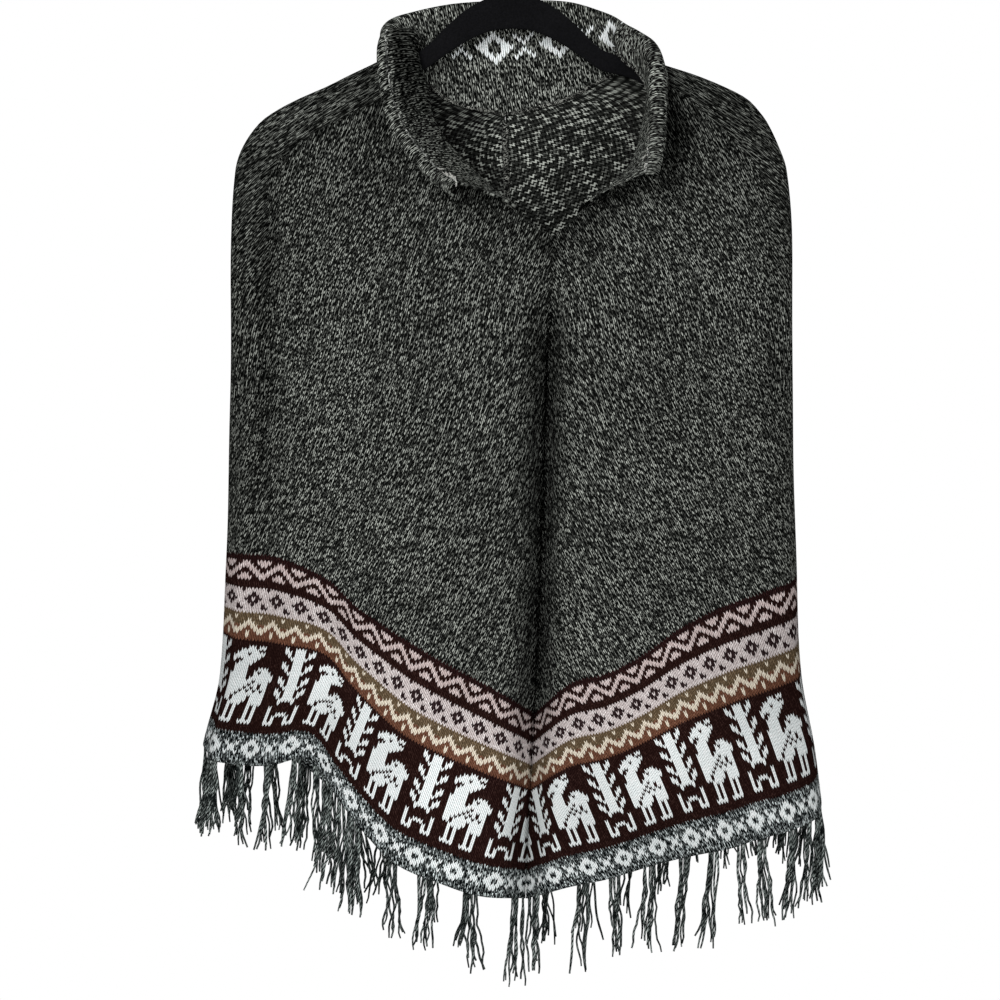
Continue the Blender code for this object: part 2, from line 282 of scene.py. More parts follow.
def ring_lengths(half):
    """A function for the distance along the level ring from the front seam.

    Even points are laid on each of the rings, and their distances are read back with
    a two-way straight-line lookup.
    """
    shares = np.linspace(0, 1, RING_FACES + 1)
    drops = np.linspace(RING_TOP, RING_BOTTOM, RING_COUNT)
    sums = lengths_along(cloth_point(half, shares[None, :], drops[:, None]))

    def length(share, drop):
        i = np.clip(share * RING_FACES, 0, RING_FACES - 0.001)
        j = (drop - RING_TOP) / (RING_BOTTOM - RING_TOP) * (RING_COUNT - 1)
        j = np.clip(j, 0, RING_COUNT - 1.001)
        i0, j0 = i.astype(int), j.astype(int)
        a, b = i - i0, j - j0
        upper = sums[j0, i0] * (1 - a) + sums[j0, i0 + 1] * a
        lower = sums[j0 + 1, i0] * (1 - a) + sums[j0 + 1, i0 + 1] * a
        return upper * (1 - b) + lower * b

    return length


def line_lengths(half):
    """A function for the distance along the middle of the border."""
    shares = np.linspace(0, 1, 2001)
    drops = (border_drop(half, shares) + hem_drop(half, shares)) / 2
    sums = lengths_along(cloth_point(half, shares, drops))
    return lambda share: np.interp(share, shares, sums)


RING_LENGTH = {half: ring_lengths(half) for half in SIDE_SIGN}
LINE_LENGTH = {half: line_lengths(half) for half in SIDE_SIGN}
half_way = RING_LENGTH["right"](np.array(1.0), np.array(0.5))
print("round the right half at a drop of 0.5, m:", half_way.round(3))

# %% Stitch and row numbers
BORDER_ROWS = 68
STITCH_WIDE, ROW_HIGH = 0.0036, 0.0031  # the body's gauge
BORDER_STITCH = {"right": 0.00311, "left": 0.00269}
BORDER_SHIFT = {"right": 0.3, "left": 15.6}  # stitches that bring the figures in place
LEAN = {"right": 0.28, "left": 0.42}  # sideways metres for each metre up
LEVEL_DROP, LEVEL_PULL = 0.66, 0.6  # where the body's rows lie level, and how nearly
SHOULDER_END = 0.45  # the drop at which the shoulder's wales run straight down
# how fast its wales swing round, how much wider its stitches are than the body's, its
# first stitch's number, and the drop from which its rows are counted
SHOULDER_SWING, SHOULDER_GAUGE, SHOULDER_FIRST, SHOULDER_ZERO = 2.6, 1.15, 400, 0.72


def body_stitches(half, share, drop):
    """Stitch and row numbers of the plain body.

    Wales are lines that lean by a fixed slope. Rows are counted up from the border,
    and further up they follow its slope less and less.
    """
    lean = LEAN[half] * np.where(share < 0.5, 1.0, -1.0)
    stitch = (RING_LENGTH[half](share, drop) - lean * (drop - 0.5)) / STITCH_WIDE
    line = border_drop(half, share)
    line = line + (LEVEL_DROP - line) * LEVEL_PULL * ease(0.0, 0.40, line - drop)
    return stitch, BORDER_ROWS + (line - drop) / ROW_HIGH


def shoulder_stitches(half, share, drop):
    """Stitch and row numbers over the shoulder.

    The wales' slope grows from nothing at the shoulder's end to well over one at the
    top, so their sideways shift is the square of the height above that.
    """
    high = np.maximum(SHOULDER_END - drop, 0)
    swing = SHOULDER_SWING * high**2 * np.where(share < 0.5, 1.0, -1.0)
    stitch = (RING_LENGTH[half](share, drop) + swing) / (STITCH_WIDE * SHOULDER_GAUGE)
    return stitch + SHOULDER_FIRST, BORDER_ROWS + (SHOULDER_ZERO - drop) / ROW_HIGH


def border_stitches(half, share, drop):
    """Stitch and row numbers of the border: rows are even parts of its depth."""
    top, hem = border_drop(half, share), hem_drop(half, share)
    middle = (top + hem) / 2
    lean = LEAN[half] * np.cos(math.pi * np.clip(share, 0, 1))
    stitch = (LINE_LENGTH[half](share) - lean * (drop - middle)) / BORDER_STITCH[half]
    if half == "right":
        stitch = -stitch  # so that every llama looks the same way
    return stitch + BORDER_SHIFT[half], BORDER_ROWS * (hem - drop) / (hem - top)


for half, wide in BORDER_STITCH.items():
    print(half, "border:", round(float(LINE_LENGTH[half](1.0)) / wide), "stitches")

# %% Mesh helpers
def quads(rows, columns, flip):
    """The corner numbers of the faces of a grid, as one array."""
    j, i = np.meshgrid(np.arange(rows - 1), np.arange(columns - 1), indexing="ij")
    a = j * columns + i
    corners = [a, a + 1, a + columns + 1, a + columns]
    if flip:
        corners = [corners[0], corners[3], corners[2], corners[1]]
    return np.stack(corners, axis=-1).reshape(-1, 4)


def build_mesh(name, points, faces, uv=None, uv_name="Stitch"):
    """A smooth-shaded object from points, a list of faces and face-corner UVs."""
    mesh = bpy.data.meshes.new(name)
    mesh.from_pydata(points.reshape(-1, 3).tolist(), [], faces)
    mesh.polygons.foreach_set("use_smooth", np.ones(len(mesh.polygons), bool))
    if uv is not None:
        layer = mesh.uv_layers.new(name=uv_name)
        layer.data.foreach_set("uv", np.asarray(uv, np.float32).reshape(-1))
    mesh.update()
    piece = bpy.data.objects.new(name, mesh)
    bpy.context.scene.collection.objects.link(piece)
    return piece


def set_attribute(piece, name, values):
    """One number for each point, which a material can read by its name."""
    field = piece.data.attributes.new(name=name, type="FLOAT", domain="POINT")
    field.data.foreach_set("value", np.asarray(values, np.float32).reshape(-1))


def dress(piece, *materials):
    for material in materials:
        piece.data.materials.append(material)


def thicken(piece, thickness, inner_material=0):
    """Gives a sheet its wall, on the side away from its outer one."""
    wall = piece.modifiers.new("Thickness", "SOLIDIFY")
    wall.thickness = thickness
    wall.offset = -1.0
    wall.use_even_offset = True
    wall.material_offset = inner_material
    return piece


print("faces of a grid of 3 x 4 points:", len(quads(3, 4, flip=False)))

# %% Painted shade on the cloth
# for each half: how much painted shade in the shoulder's crease, at the top, under the collar,
# inside
CREASE_DARK = {"right": 0.46, "left": 0.20}
HIGH_DARK = {"right": 0.18, "left": 0.10}
COLLAR_DARK = {"right": 0.35, "left": 0.55}
INSIDE_DARK = {"right": 0.62, "left": 0.06}
# painted shade at the front seam, at the foot of the V and at the sides: how much darker,
# how wide; ALL_DARK darkens all the cloth evenly
SEAM_DARK, SEAM_WIDE = 0.70, 0.0140
FOOT_DARK, FOOT_WIDE, FOOT_DROP = 0.70, 0.012, 0.318
SIDE_DARK, SIDE_WIDE, ALL_DARK = 0.26, 0.16, 0.02
CREASE_WIDE, COLLAR_WIDE = 0.012, 0.030
# x, width, drop, height and strength of the painted shadows where the collar overhangs
OVERHANGS = ((0.142, 0.030, 0.210, 0.055, 0.84), (0.190, 0.040, 0.205, 0.050, 0.46))


def shoulder_line(half, drop):
    """The share at which the body's stitches give way to the shoulder's.

    It starts at the collar's foot and runs down and outwards to the side roll.
    """
    if half == "right":
        return 0.20 + 0.155 * ease(0.15, 0.27, drop)
    return 0.22 + 0.150 * ease(0.15, 0.29, drop)


def outer_shade(half, share, drop):
    """Painted shade on the outside: 1 in the open, less where shade falls on the cloth.

    That is down the front seam, at the foot of the V, in the shoulder's crease, round
    the foot of the collar, and a painted shadow where the collar overhangs the left
    shoulder. Each is a bell over the distance from its place, and the darkest of them
    counts. The sides and the front of the shoulders get painted shade besides.
    """
    inward = np.minimum(share, (1 - share) * 1.6) * HALF_ROUND
    seam = SEAM_DARK * bell(inward, SEAM_WIDE) * ease(0.32, VALLEY_FULL, drop)
    seam = seam * (1 - 0.70 * ease(0.68, 0.78, drop))  # the border shows less of it
    foot = FOOT_DARK * bell(np.hypot(inward, (drop - FOOT_DROP) * 0.8), FOOT_WIDE)
    crease = bell((share - shoulder_line(half, drop)) * HALF_ROUND, CREASE_WIDE)
    crease = CREASE_DARK[half] * (1 - ease(SHOULDER_END, 0.62, drop)) * crease
    under = bell(drop - neck_drop(half, share), COLLAR_WIDE) * (share < 0.45)
    painted_shade = np.maximum.reduce([seam, foot, crease, COLLAR_DARK[half] * under])
    if half == "left":
        x = cloth_point(half, share, drop)[..., 0]
        for place, width, level, height, strength in OVERHANGS:
            shadow = strength * bell(x - place, width) * bell(drop - level, height)
            painted_shade = np.maximum(painted_shade, shadow * (share < 0.5))
    high = HIGH_DARK[half] * (1 - ease(0.22, 0.55, drop)) * (share < 0.5)
    side = SIDE_DARK * bell(share - 0.5, SIDE_WIDE) + ALL_DARK + high
    return (1 - painted_shade) * (1 - side)


def inner_shade(half, share, drop):
    """Painted shade likewise for the inside of the neck, darker on the wearer's right."""
    high = 1 - ease(0.30, 0.40, drop)
    return 1 - INSIDE_DARK[half] * (1 - ease(0.965, 1.00, share)) * high


print("shade at the front seam:", outer_shade("right", np.array(0.0), np.array(0.6)).round(2))

# %% The two halves
ROUND_COUNT = 190  # faces round a half
BODY_COUNT = 84  # faces from the neckline to the border
CROWDED = 1.25  # above 1 these are closer together near the neckline
HEM_COUNT = 50  # faces down the border
CLOTH_THICK = 0.0024


def make_half(half):
    """One half: a grid from the neckline to the border, and on down to the hem."""
    share = np.linspace(0, 1, ROUND_COUNT + 1)[None, :]
    top, edge, hem = (f(half, share) for f in (neck_drop, border_drop, hem_drop))
    upper = top + (edge - top) * np.linspace(0, 1, BODY_COUNT + 1)[:, None] ** CROWDED
    lower = edge + (hem - edge) * np.linspace(0, 1, HEM_COUNT + 1)[1:, None]
    drop = np.concatenate([upper, lower])
    share = np.broadcast_to(share, drop.shape)
    faces = quads(*drop.shape, flip=half == "left")
    s, d = share.reshape(-1), drop.reshape(-1)
    maps = (body_stitches, shoulder_stitches, border_stitches)
    zones = [np.stack(numbers(half, s, d), axis=-1) for numbers in maps]
    mid_share, mid_drop = s[faces].mean(axis=1), d[faces].mean(axis=1)
    in_border = np.arange(len(faces)) >= BODY_COUNT * ROUND_COUNT
    start = shoulder_line(half, mid_drop)
    on_shoulder = (mid_share > start) & (mid_share < 1 - start) & (mid_drop < SHOULDER_END)
    zone = np.where(in_border, 2, np.where(on_shoulder, 1, 0))
    uv = np.stack(zones)[zone[:, None], faces]
    points = cloth_point(half, share, drop)
    piece = build_mesh(half + "_panel", points, faces.tolist(), uv)
    # painted shade for the outside and for the inside of the cloth, stored on its points
    set_attribute(piece, "Shade", outer_shade(half, s, d))
    set_attribute(piece, "Depth", inner_shade(half, s, d))
    return thicken(piece, CLOTH_THICK, inner_material=1)


panels = {half: make_half(half) for half in SIDE_SIGN}
print("faces in a half:", len(panels["right"].data.polygons))

# %% [markdown]
# ## A way to write formulas as nodes
#
# A knitted stitch is drawn by a formula, and in nodes a formula is a chain of Math
# nodes. Building forty of those one by one hides the idea, so a small class lets a
# shader be written as sums and products: each operation adds its Math node. Every
# other kind of node is added by one function too, from its settings and its inputs.


# %% Formulas as nodes
class Wire:
    """A value that runs from one node to the next."""

    def __init__(self, tree, socket):
        self.tree, self.socket = tree, socket

    def __add__(self, other):
        return math_node(self.tree, "ADD", self, other)

    def __sub__(self, other):
        return math_node(self.tree, "SUBTRACT", self, other)

    def __mul__(self, other):
        return math_node(self.tree, "MULTIPLY", self, other)

    def __truediv__(self, other):
        return math_node(self.tree, "DIVIDE", self, other)

    __radd__, __rmul__ = __add__, __mul__

    def __rsub__(self, other):
        return math_node(self.tree, "SUBTRACT", other, self)


def plug(tree, value, socket):
    """Links a wire to a socket, or sets the socket to a plain number or colour."""
    if isinstance(value, Wire):
        tree.links.new(value.socket, socket)
    elif isinstance(value, tuple) and len(value) == 3 and len(socket.default_value) == 4:
        socket.default_value = (*value, 1.0)
    else:
        socket.default_value = value


def add_node(tree, kind, inputs, output=0, **settings):
    """A new node with its settings and inputs, and a wire from one of its outputs."""
    node = tree.nodes.new("ShaderNode" + kind)
    for name, value in settings.items():
        setattr(node, name, value)
    for socket, value in inputs.items():
        plug(tree, value, node.inputs[socket])
    return Wire(tree, node.outputs[output])


def math_node(tree, operation, *values):
    return add_node(tree, "Math", dict(enumerate(values)), operation=operation)


def on_wire(operation):
    """A function that puts one kind of Math node on a wire."""
    return lambda x, *others: math_node(x.tree, operation, x, *others)


whole, part, size_of, wave = map(on_wire, ("FLOOR", "FRACT", "ABSOLUTE", "SINE"))
turn_round, at_least, at_most = map(on_wire, ("FLOORED_MODULO", "MAXIMUM", "MINIMUM"))


def above(x, limit):
    """1 where x is more than limit, either of which may be a plain number."""
    tree = x.tree if isinstance(x, Wire) else limit.tree
    return math_node(tree, "GREATER_THAN", x, limit)


def count_nodes(formula):
    """How many nodes a formula makes, in a tree that is then thrown away."""
    trial = bpy.data.node_groups.new("trial", "ShaderNodeTree")
    formula(trial)
    count = len(trial.nodes)
    bpy.data.node_groups.remove(trial)
    return count


print("nodes for 1 + 2:", count_nodes(lambda tree: math_node(tree, "ADD", 1.0, 2.0)))


# %% Places, noise and mixes as nodes
def steps_up(x, low, high):
    """0 up to low, 1 from high on, and an S-shaped rise between."""
    inputs = {"Value": x, "From Min": low, "From Max": high}
    return add_node(x.tree, "MapRange", inputs, interpolation_type="SMOOTHSTEP")


def joined(tree, x, y=0.0, z=0.0):
    return add_node(tree, "CombineXYZ", {0: x, 1: y, 2: z})


def split(tree, vector):
    x = add_node(tree, "SeparateXYZ", {0: vector})
    return [Wire(tree, output) for output in x.socket.node.outputs]


def dice(tree, *place):
    """A random number from 0 to 1 that stays the same for one place."""
    inputs = {"Vector": joined(tree, *place)}
    return add_node(tree, "TexWhiteNoise", inputs, "Value", noise_dimensions="3D")


def cloud(tree, vector, scale, detail=2.0):
    """Soft noise from 0 to 1."""
    inputs = {"Vector": vector, "Scale": scale, "Detail": detail}
    return add_node(tree, "TexNoise", inputs, "Fac")


def mixed(tree, share, first, second, way="MIX"):
    """first where share is 0, second where it is 1, both colours."""
    inputs = {"Factor": share, 6: first, 7: second}
    return add_node(tree, "Mix", inputs, 2, data_type="RGBA", blend_type=way)


def toned(tree, colour, tone):
    """A colour times one number."""
    return mixed(tree, 1.0, colour, joined(tree, tone, tone, tone), "MULTIPLY")


def uv_of(tree, name):
    return add_node(tree, "UVMap", {}, uv_map=name)


def attribute(tree, name):
    return add_node(tree, "Attribute", {}, "Fac", attribute_name=name)


def object_place(tree):
    return add_node(tree, "TexCoord", {}, "Object")


print("nodes for soft noise:", count_nodes(lambda tree: cloud(tree, object_place(tree), 9.0)))


# %% A material and its surface
def new_material(name, roughness, sheen=0.0, shine=0.0):
    """A material with its shader, and the plain numbers set on the shader itself."""
    material = bpy.data.materials.new(name)
    material.use_nodes = True
    shader = material.node_tree.nodes["Principled BSDF"]
    shader.inputs["Roughness"].default_value = roughness
    shader.inputs["Specular IOR Level"].default_value = shine
    shader.inputs["Sheen Weight"].default_value = sheen
    shader.inputs["Sheen Roughness"].default_value = 0.5
    return material, material.node_tree, shader


def finish_surface(tree, shader, colour, height, strength, distance):
    """Sends a colour and a height to the shader, the height through a Bump node."""
    plug(tree, colour, shader.inputs["Base Color"])
    bump = tree.nodes.new("ShaderNodeBump")
    bump.inputs["Strength"].default_value = strength
    bump.inputs["Distance"].default_value = distance
    plug(tree, height, bump.inputs["Height"])
    tree.links.new(bump.outputs["Normal"], shader.inputs["Normal"])


def from_srgb(r, g, b):
    """A colour given as on a screen, 0 to 255, turned into amounts of light."""
    c = np.array([r, g, b]) / 255
    return tuple(np.where(c <= 0.04045, c / 12.92, ((c + 0.055) / 1.055) ** 2.4).tolist())


print("the lighter ply's grey as light:", round(from_srgb(177, 181, 173)[1], 3))

# %% [markdown]
# ## The border's charts
#
# Colourwork is knitted from a chart: a few rows of squares that repeat round the
# cloth. A knitting machine reads them from a punch card, and so does this shader.
# Each row is a string with a mark for every stitch in the figure's colour; the
# string becomes a whole number with one bit for each stitch, and a colour ramp with
# hard steps hands the number out by row. Painting the cloth from an image would be
# easier, but a chart stays sharp at any distance.

# %% The charts
ZIGZAG = (
    "##..##..##",
    "#..####..#",
    "..##..##..",
    ".##....##.",
    "##..##..##",
    "#..####..#",
    "..........",
    "..........",
    "..........",
)
LOZENGES = (
    "#......",
    "...#...",
    "..###..",
    ".##.##.",
    "..###..",
    "...#..#",
    "#.....#",
    ".......",
)
WAVES = (
    ".......",
    "......#",
    "...#...",
    "..###..",
    ".##.##.",
    "##...##",
    "#..#..#",
    "...#...",
    ".......",
    ".......",
)
LLAMA = (
    ".............",
    "....##.##....",
    "..#####......",
    ".###.####....",
    "########.....",
    "#..####......",
    "..####.......",
    ".####........",
    ".####...###..",
    ".####..#.###.",
    "#####..######",
    "#####.#######",
    "#######.####.",
    "######.##.##.",
    "#####.#.#.##.",
    "####.#.#.#.#.",
    "###.########.",
    "##.####.####.",
    "##.####.####.",
    "..####..####.",
    *("..#.#...#.#..",) * 5,
    ".####..####..",
    ".............",
)
BRANCHES = (
    ".#..###..#.",
    ".##.###.##.",
    "..#.###.#..",
    "...#####...",
)
TREE = (
    *(*BRANCHES, "....###....") * 2,
    *BRANCHES * 2,
    "...#...#...",
    "...........",
    ".#.......#.",
    ".#.......#.",
    ".#..###..#.",
    ".#.#...#.#.",
    ".#.#...#.#.",
    ".###...###.",
    "...........",
)
HEM_FIGURES = (
    "............",
    "............",
    ".....##.....",
    ".#..####..#.",
    "#..##..##..#",
    "#..##..##..#",
    ".#..####..#.",
    ".....##.....",
    "............",
    "............",
)
COLLAR_FIGURES = (
    "....#..........",
    "...###...#...#.",
    "..##.##...#.#..",
    ".##...##...#...",
    "###...###......",
    ".##...##...#...",
    "..##.##...#.#..",
    "...###...#...#.",
    "....#..........",
)
assert len(LLAMA) == len(TREE)
print("rows of a llama:", len(LLAMA), "and stitches with its tree:", len(LLAMA[0] + TREE[0]) + 2)


# %% The yarns and the punch card
def plies(deep, pale):
    """A yarn's dark ply and light ply, as colours of light."""
    return from_srgb(*deep), from_srgb(*pale)


BODY_PLIES = plies((13, 14, 13), (177, 181, 173))
MAROON = plies((33, 18, 18), (60, 38, 37))
BROWN = plies((36, 20, 18), (62, 42, 38))
ROSE = plies((196, 178, 175), (240, 227, 225))
PEARL = plies((206, 194, 192), (250, 243, 241))
SLATE = plies((40, 28, 29), (70, 55, 55))
OLIVE = plies((96, 80, 60), (138, 118, 94))
CREAM = plies((226, 214, 194), (246, 238, 222))
RUST = plies((104, 68, 52), (140, 98, 78))
WHITE = plies((238, 245, 245), (255, 255, 255))
HEM_PLIES = plies((9, 13, 14), (236, 247, 247))
OLIVE_ROWS = 4  # of the wave band; the ground of the others is rust

# every row from the body down: the chart's string, its ground and its figure
CARD = [(".", BODY_PLIES, WHITE)]
CARD += [(".", MAROON, ROSE)] * 2
CARD += [(row, BROWN, ROSE) for row in ZIGZAG]
CARD += [(row, PEARL, SLATE) for row in LOZENGES]
CARD += [(row, OLIVE if i < OLIVE_ROWS else RUST, CREAM) for i, row in enumerate(WAVES)]
CARD[-1] = (".......", BROWN, CREAM)
CARD += [(f"{llama}.{tree}.", BROWN, WHITE) for llama, tree in zip(LLAMA, TREE)]
CARD += [(".", BROWN, WHITE)] * 2
CARD += [(row, HEM_PLIES, WHITE) for row in HEM_FIGURES]
COLLAR_CARD = [(row, BODY_PLIES, WHITE) for row in (".", *COLLAR_FIGURES, ".")]
print("rows in the border:", len(CARD) - 1)

# %% Reading the card
RAMP_ROWS = 28  # rows of the card that one ramp reads
HALF_ROW = 13  # stitches that one number holds


def number_of(marks):
    """A string of marks as a whole number, the first stitch its lowest bit."""
    return sum(2**i for i, mark in enumerate(marks) if mark == "#")


def step_ramp(tree, share, colours):
    """A ramp with hard steps: the n-th of the colours on the n-th even part of 0..1.

    Neighbours that are the same share one step, since a ramp holds 32 at most.
    """
    node = tree.nodes.new("ShaderNodeValToRGB")
    node.color_ramp.interpolation = "CONSTANT"
    marks = node.color_ramp.elements
    marks.remove(marks[1])
    last = None
    for i, colour in enumerate(colours):
        if colour != last:
            mark = marks[0] if i == 0 else marks.new(i / len(colours))
            mark.color = (*colour, 1.0)
            last = colour
    plug(tree, share, node.inputs[0])
    return Wire(tree, node.outputs[0])


def figure_bit(tree, card, row, stitch):
    """1 where the card marks this stitch of this row, and 0 elsewhere.

    The card is cut into lengths. Each hands out the number of the row's first 13
    stitches, the number of its others and its repeat, and counts as nothing outside
    its rows. The bit is floor(number / 2^column) mod 2.
    """
    found = [0.0, 0.0, 0.0]
    for first in range(0, len(card), RAMP_ROWS):
        rows = card[first : first + RAMP_ROWS]
        strings = [marks for marks, _, _ in rows]
        codes = [
            (number_of(marks[:HALF_ROW]), number_of(marks[HALF_ROW:]), len(marks))
            for marks in strings
        ]
        inside = above(row, first - 0.5) * above(first + len(rows) - 0.5, row)
        ramp = step_ramp(tree, (row - first + 0.5) / len(rows), codes)
        found = [sum_so_far + code * inside for sum_so_far, code in zip(found, split(tree, ramp))]
    early, others, repeat = found
    place = turn_round(stitch, at_least(repeat, 1.0))
    late = above(place, HALF_ROW - 0.5)
    number = early + (others - early) * late
    power = math_node(tree, "POWER", 2.0, place - late * HALF_ROW)
    return turn_round(whole((number + 0.5) / power), 2.0)


print("number of ##..#:", number_of("##..#"))

# %% [markdown]
# ## Marl yarn and the knitted stitch
#
# The yarn is two plies, one nearly black and one pale, twisted together. On the
# right side of the fabric each stitch is a V, and each leg of the V shows the plies
# as a slanting streak, pale where the pale ply happens to lie on top. That is what
# makes the salt-and-pepper look. The shader finds the leg that a point lies on,
# rolls dice for it, and draws the streak along it; the same numbers give the rounded
# height of the leg for the bump. On the wrong side the same yarn shows as level,
# wavy ridges. A plain noise would give speckle, but no stitches.

# %% Where a point lies in its stitch
LEG_SLOPE = 2.2  # rows that a leg of the V falls over one stitch
RIDGE_HEIGHT, RIDGE_RUN = 0.74, 0.5  # ridges to a row, runs of yarn to a stitch
RIDGE_WAVE, RIDGE_SWING = 4.6, 0.20


def right_side(tree, uv):
    """Where a point lies in its V-shaped stitch.

    Rows are bent down to the middle of each stitch by slope x distance from it. A
    stitch has two legs, across runs from -1 to 1 over a leg and along from 0 to 1.
    """
    u, v, _ = split(tree, uv)
    bent = v - size_of(part(u) - 0.5) * LEG_SLOPE
    across = part(u * 2.0) * 2.0 - 1.0
    return whole(u), whole(u * 2.0), whole(bent), across, part(bent)


def wrong_side(tree, uv):
    """Where a point lies on the level ridges of the wrong side.

    Ridges are v x their number to a row, and wave as the sine of u. across runs over
    the ridge, and a run of yarn shows for two stitches, shifted from ridge to ridge.
    """
    u, v, _ = split(tree, uv)
    bent = v * RIDGE_HEIGHT + wave(u * RIDGE_WAVE) * RIDGE_SWING
    row = whole(bent)
    shifted = u * RIDGE_RUN + row * 0.37
    return whole(shifted), row, part(bent) * 2.0 - 1.0, part(shifted)


# %% The marl
# how fast the ply turns across and along a leg, and half the width of its streak
RIGHT_STREAK, WRONG_STREAK = ((0.42, 0.30), 0.18), ((0.30, 0.34), 0.26)


def marl(tree, leg, row, across, along, lean, width):
    """How much of the pale ply shows, and the height of the yarn.

    The streak is pale where |fract(a x across + b x along + dice) - 1/2| is under
    its width. The height is 1 - across^2, lower at the two ends of the leg.
    """
    start = dice(tree, leg, row, 1.7)
    ply = part(across * lean[0] + along * lean[1] + start)
    streak = 1.0 - steps_up(size_of(ply - 0.5), width - 0.05, width + 0.05)
    strength = 0.10 + steps_up(dice(tree, leg, row, 8.3), 0.1, 1.0) * 0.90
    swell = 0.55 + wave(along * math.pi) * 0.45
    height = (1.0 - across * across) * swell
    return streak * strength, height


# painted shade darkens the yarn down between the stitches; this is how pale it stays there
BASE_FLOOR = 0.06  # how pale the yarn still looks down between the stitches


def shaded(tree, fleck, height, deep, pale, floor=BASE_FLOOR):
    """The yarn's colour: the plies mixed by fleck, with painted shade down between the yarns."""
    yarn = mixed(tree, fleck, deep, pale)
    return toned(tree, yarn, floor + steps_up(height, 0.0, 0.7) * (1 - floor))


def uneven(tree, colour, place, scale, low, high):
    """Slow changes of tone over the cloth, as where it is rubbed or lies thicker."""
    return toned(tree, colour, cloud(tree, place, scale, 3.0) * (high - low) + low)


print("half widths of the streak:", RIGHT_STREAK[1], WRONG_STREAK[1])

# %% The colours of the two sides
# the figures get less painted shade down between their stitches
FIGURE_LESS_SHADE = 0.22  # how much lighter the figures are down between their stitches
JOG, RIDGE_CORE, RIDGE_EDGE = 0.8, 0.15, 0.70  # of the wrong side's pale ridges
RIDGE_BRIGHT, RIDGE_LEAST = 1.7, 0.035


def card_share(card, line):
    """Which even part of 0..1 belongs to a line of the card."""
    return (line + 0.5) / len(card)


def right_colour(tree, card, top_row, stitch, row, fleck, height):
    """The right side: ground and figure yarns by the card, with less painted shade in figures."""
    if card is None:
        return shaded(tree, fleck, height, *BODY_PLIES)
    line = at_most(at_least(top_row - row, 0.0), len(card) - 1.0)
    share = card_share(card, line)
    (ground_deep, ground_pale), (figure_deep, figure_pale) = [
        [step_ramp(tree, share, [tuple(entry[yarn][ply]) for entry in card]) for ply in (0, 1)]
        for yarn in (1, 2)
    ]
    bit = figure_bit(tree, card, line, stitch)
    deep = mixed(tree, bit, ground_deep, figure_deep)
    pale = mixed(tree, bit, ground_pale, figure_pale)
    return shaded(tree, fleck, height, deep, pale, floor=bit * FIGURE_LESS_SHADE + BASE_FLOOR)


def wrong_colour(tree, card, top_row, v, jog, across, fleck, height):
    """The wrong side: thin pale ridges, jogged up and down by dice, on the ground yarn."""
    ridge = 1.0 - steps_up(size_of(across + jog * JOG), RIDGE_CORE, RIDGE_EDGE)
    fleck = fleck * ridge * RIDGE_BRIGHT + RIDGE_LEAST
    share = card_share(card, at_least(top_row - v, 0.0))
    ground = [step_ramp(tree, share, [entry[1][ply] for entry in card]) for ply in (0, 1)]
    # painted shade down between the ridges, here down to black
    return shaded(tree, fleck, height, *ground, floor=0.0)


# %% The knitted materials
PATCHES, FUZZ = 9.0, 1900.0  # sizes of the noise for uneven tone and for loose fibres


def knit_material(name, card, shade, top_row=BORDER_ROWS, purl=False, bright=1.0):
    """Knitted marl yarn, with a card's figures if there is one.

    shade names the attribute of painted shade that darkens it; bright lifts the pale ply.
    """
    material, tree, shader = new_material(name, 0.95)
    uv, place = uv_of(tree, "Stitch"), object_place(tree)
    if purl:
        leg, row, across, along = wrong_side(tree, uv)
        fleck, height = marl(tree, leg, row, across, along, *WRONG_STREAK)
        height = height * 0.8
        jog = dice(tree, leg, row, 4.1) - 0.5
        v = split(tree, uv)[1]
        colour = wrong_colour(tree, card, top_row, v, jog, across, fleck * bright, height)
    else:
        stitch, leg, row, across, along = right_side(tree, uv)
        fleck, height = marl(tree, leg, row, across, along, *RIGHT_STREAK)
        colour = right_colour(tree, card, top_row, stitch, row, fleck * bright, height)
    colour = uneven(tree, colour, place, PATCHES, 0.62, 1.38)
    # painted shade, read from the attribute stored on the mesh
    colour = toned(tree, colour, attribute(tree, shade))
    fuzz = cloud(tree, place, FUZZ)
    finish_surface(tree, shader, colour, height + fuzz * 0.35, 0.75, 0.0011)
    return material


body_knit = knit_material("body_knit", CARD, "Shade")
body_purl = knit_material("body_purl", CARD, "Depth", purl=True)
collar_knit = knit_material("collar_knit", None, "Shade")
collar_inside = knit_material("collar_inside", COLLAR_CARD, "Depth", top_row=18, bright=1.4)
for panel in panels.values():
    dress(panel, body_knit, body_purl)
print("nodes in the body's material:", len(body_knit.node_tree.nodes))

# %% [markdown]
# ## The collar
#
# The collar is a band knitted on to the neckline. It stands, leans outwards and
# rolls over at its edge, higher at the back than at the front. A profile is carried
# along the neckline: a Bezier curve from the seam to the crest, then an arc that
# turns outwards, then a short straight fall. Carrying one profile keeps the roll
# even, where sculpting would make it lumpy.

